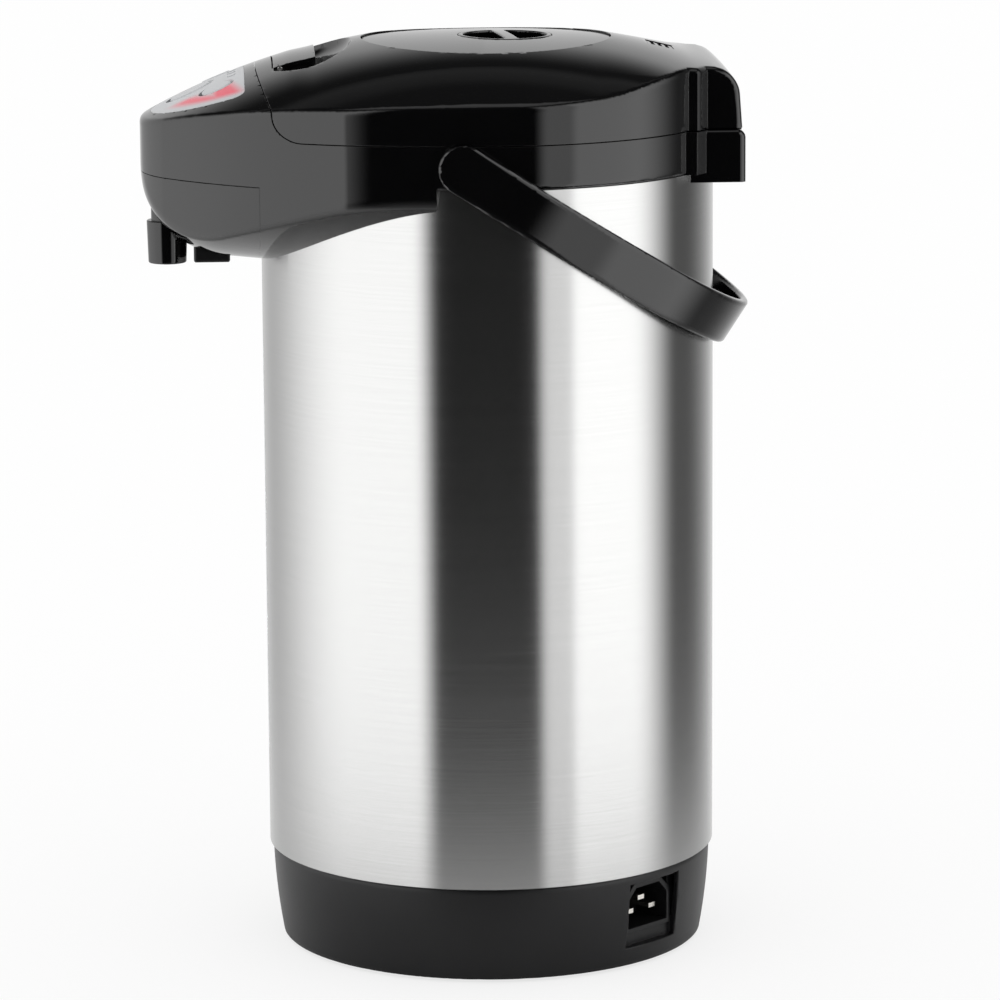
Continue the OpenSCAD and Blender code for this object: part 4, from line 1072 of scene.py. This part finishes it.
# compass angles are in degrees from the camera's side, positive towards the right of the picture
studio = {
    "floorSize": 14.0,
    "leftBox": {"near": (-38, -25), "far": (-150, -75), "bright": 2.2, "faded": 0.75},
    "rightBox": {"near": (23, 31), "step": (41, 47), "far": (78, 112), "bright": 2.35, "first": 1.45,
                 "faded": 0.06},
    "backWall": {"from": 120, "to": 168, "bright": 0.65},
    "darkLevel": 0.012,
    "wallTop": (0.62, 0.9),       # sine of the elevation where the boxes fade out
    "roofBright": 0.05,
    "behind": (85, 125),          # behind the pot the wall is lit only below this sine of elevation
    "behindTop": (0.36, 0.64),
    "behindLoss": 0.97,
    # a faint band higher up behind: sines of its borders, then its brightness
    "streak": (0.68, 0.73, 0.77, 0.82, 0.13),
    "overhead": (0.9, 0.96, 0.7),
    "floorColour": (0.97, 0.97, 0.97, 1),
    "floorNear": 0.16,            # in reflections the floor is white up to here, in metres
    "floorReach": 0.17,           # and from there it darkens this fast
    "dome": 1.0,
    "paperWhite": 0.75,           # share of plain white in the floor as the eye sees it
}


def makeWorld(shape):
    world = bpy.data.worlds.new("studioWorld")
    bpy.context.scene.world = world
    world.use_nodes = True
    tree = world.node_tree
    tree.nodes.clear()
    output = tree.nodes.new("ShaderNodeOutputWorld")
    place = addNode(tree, "ShaderNodeTexCoord")
    split = addNode(tree, "ShaderNodeSeparateXYZ")
    tree.links.new(place.outputs["Generated"], split.inputs[0])

    def along(direction):
        return mathNode(tree, "ADD", mathNode(tree, "MULTIPLY", split.outputs[0], direction.x),
                        mathNode(tree, "MULTIPLY", split.outputs[1], direction.y))

    compass = mathNode(tree, "DEGREES", mathNode(tree, "ARCTAN2", along(right), along(outward)))
    left, side, back = shape["leftBox"], shape["rightBox"], shape["backWall"]
    leftNear = rampNode(tree, compass, (*left["near"], left["bright"], 0))
    leftFar = rampNode(tree, compass, (*left["far"], left["faded"] / left["bright"], 1))
    leftLight = mathNode(tree, "MULTIPLY", leftNear, leftFar)
    rightNear = rampNode(tree, compass, (*side["near"], 0, 1))
    rightStep = rampNode(tree, compass, (*side["step"], side["first"], side["bright"]))
    rightFar = rampNode(tree, compass, (*side["far"], 1, side["faded"]))
    rightLight = mathNode(tree, "MULTIPLY", rightNear, mathNode(tree, "MULTIPLY", rightStep, rightFar))
    backLight = rampNode(tree, compass, (back["from"], back["to"], 0, back["bright"]))
    wall = mathNode(tree, "ADD", mathNode(tree, "ADD", leftLight, rightLight), backLight)
    behind = rampNode(tree, mathNode(tree, "ABSOLUTE", compass), (*shape["behind"], 0, 1))
    lowOnly = rampNode(tree, split.outputs[2], (*shape["behindTop"], 0, shape["behindLoss"]))
    wall = mathNode(tree, "MULTIPLY", wall, mathNode(
        tree, "SUBTRACT", 1.0, mathNode(tree, "MULTIPLY", behind, lowOnly)))
    low, lowFull, highFull, high, bright = shape["streak"]
    streak = mathNode(tree, "MULTIPLY", rampNode(tree, split.outputs[2], (low, lowFull, 0, bright)),
                      rampNode(tree, split.outputs[2], (highFull, high, 1, 0)))
    wall = mathNode(tree, "ADD", wall, mathNode(tree, "MULTIPLY", streak, behind))
    wall = mathNode(tree, "ADD", wall, shape["darkLevel"])
    roof = rampNode(tree, split.outputs[2], (*shape["wallTop"], 0, 1))
    glow = addNode(tree, "ShaderNodeMix")
    tree.links.new(roof, glow.inputs[0])
    tree.links.new(wall, glow.inputs[2])
    first, full, bright = shape["overhead"]
    overhead = rampNode(tree, split.outputs[2], (first, full, shape["roofBright"], bright))
    tree.links.new(overhead, glow.inputs[3])
    mirrored = addNode(tree, "ShaderNodeBackground")
    mirrored.inputs["Color"].default_value = (1, 1, 1, 1)
    tree.links.new(glow.outputs[0], mirrored.inputs["Strength"])
    dome = addNode(tree, "ShaderNodeBackground")
    dome.inputs["Color"].default_value = (1, 1, 1, 1)
    dome.inputs["Strength"].default_value = shape["dome"]
    path = addNode(tree, "ShaderNodeLightPath")
    mix = addNode(tree, "ShaderNodeMixShader")
    tree.links.new(path.outputs["Is Glossy Ray"], mix.inputs[0])
    tree.links.new(dome.outputs[0], mix.inputs[1])
    tree.links.new(mirrored.outputs[0], mix.inputs[2])
    tree.links.new(mix.outputs[0], output.inputs[0])


def makeFloor(shape):
    # white to the eye; in reflections it fades with the distance from the pot
    half = shape["floorSize"] / 2
    mesh = bpy.data.meshes.new("studioFloor")
    corners = [(-half, -half, 0), (half, -half, 0), (half, half, 0), (-half, half, 0)]
    mesh.from_pydata(corners, [], [(0, 1, 2, 3)])
    floor = bpy.data.objects.new("studioFloor", mesh)
    bpy.context.collection.objects.link(floor)
    material, tree, output = newMaterial("paleFloor")
    shade = addNode(tree, "ShaderNodeBsdfDiffuse")
    shade.inputs["Color"].default_value = shape["floorColour"]
    clear = addNode(tree, "ShaderNodeBsdfTransparent")
    place = addNode(tree, "ShaderNodeTexCoord")
    length = addNode(tree, "ShaderNodeVectorMath", operation="LENGTH")
    tree.links.new(place.outputs["Object"], length.inputs[0])
    fade = mathNode(tree, "EXPONENT", mathNode(tree, "DIVIDE", mathNode(
        tree, "SUBTRACT", shape["floorNear"], length.outputs["Value"]), shape["floorReach"]), clamp=True)
    path = addNode(tree, "ShaderNodeLightPath")
    paper = addNode(tree, "ShaderNodeEmission")
    paper.inputs["Color"].default_value = (1, 1, 1, 1)
    seen = addNode(tree, "ShaderNodeMixShader")
    whiteShare = mathNode(tree, "MULTIPLY", path.outputs["Is Camera Ray"], shape["paperWhite"])
    tree.links.new(whiteShare, seen.inputs[0])
    tree.links.new(shade.outputs[0], seen.inputs[1])
    tree.links.new(paper.outputs[0], seen.inputs[2])
    gone = mathNode(tree, "MULTIPLY", path.outputs["Is Glossy Ray"], mathNode(tree, "SUBTRACT", 1.0, fade))
    mix = addNode(tree, "ShaderNodeMixShader")
    tree.links.new(gone, mix.inputs[0])
    tree.links.new(seen.outputs[0], mix.inputs[1])
    tree.links.new(clear.outputs[0], mix.inputs[2])
    tree.links.new(mix.outputs[0], output.inputs[0])
    mesh.materials.append(material)


makeWorld(studio)
makeFloor(studio)
bpy.context.scene.view_settings.view_transform = "Standard"
print("studio ready")
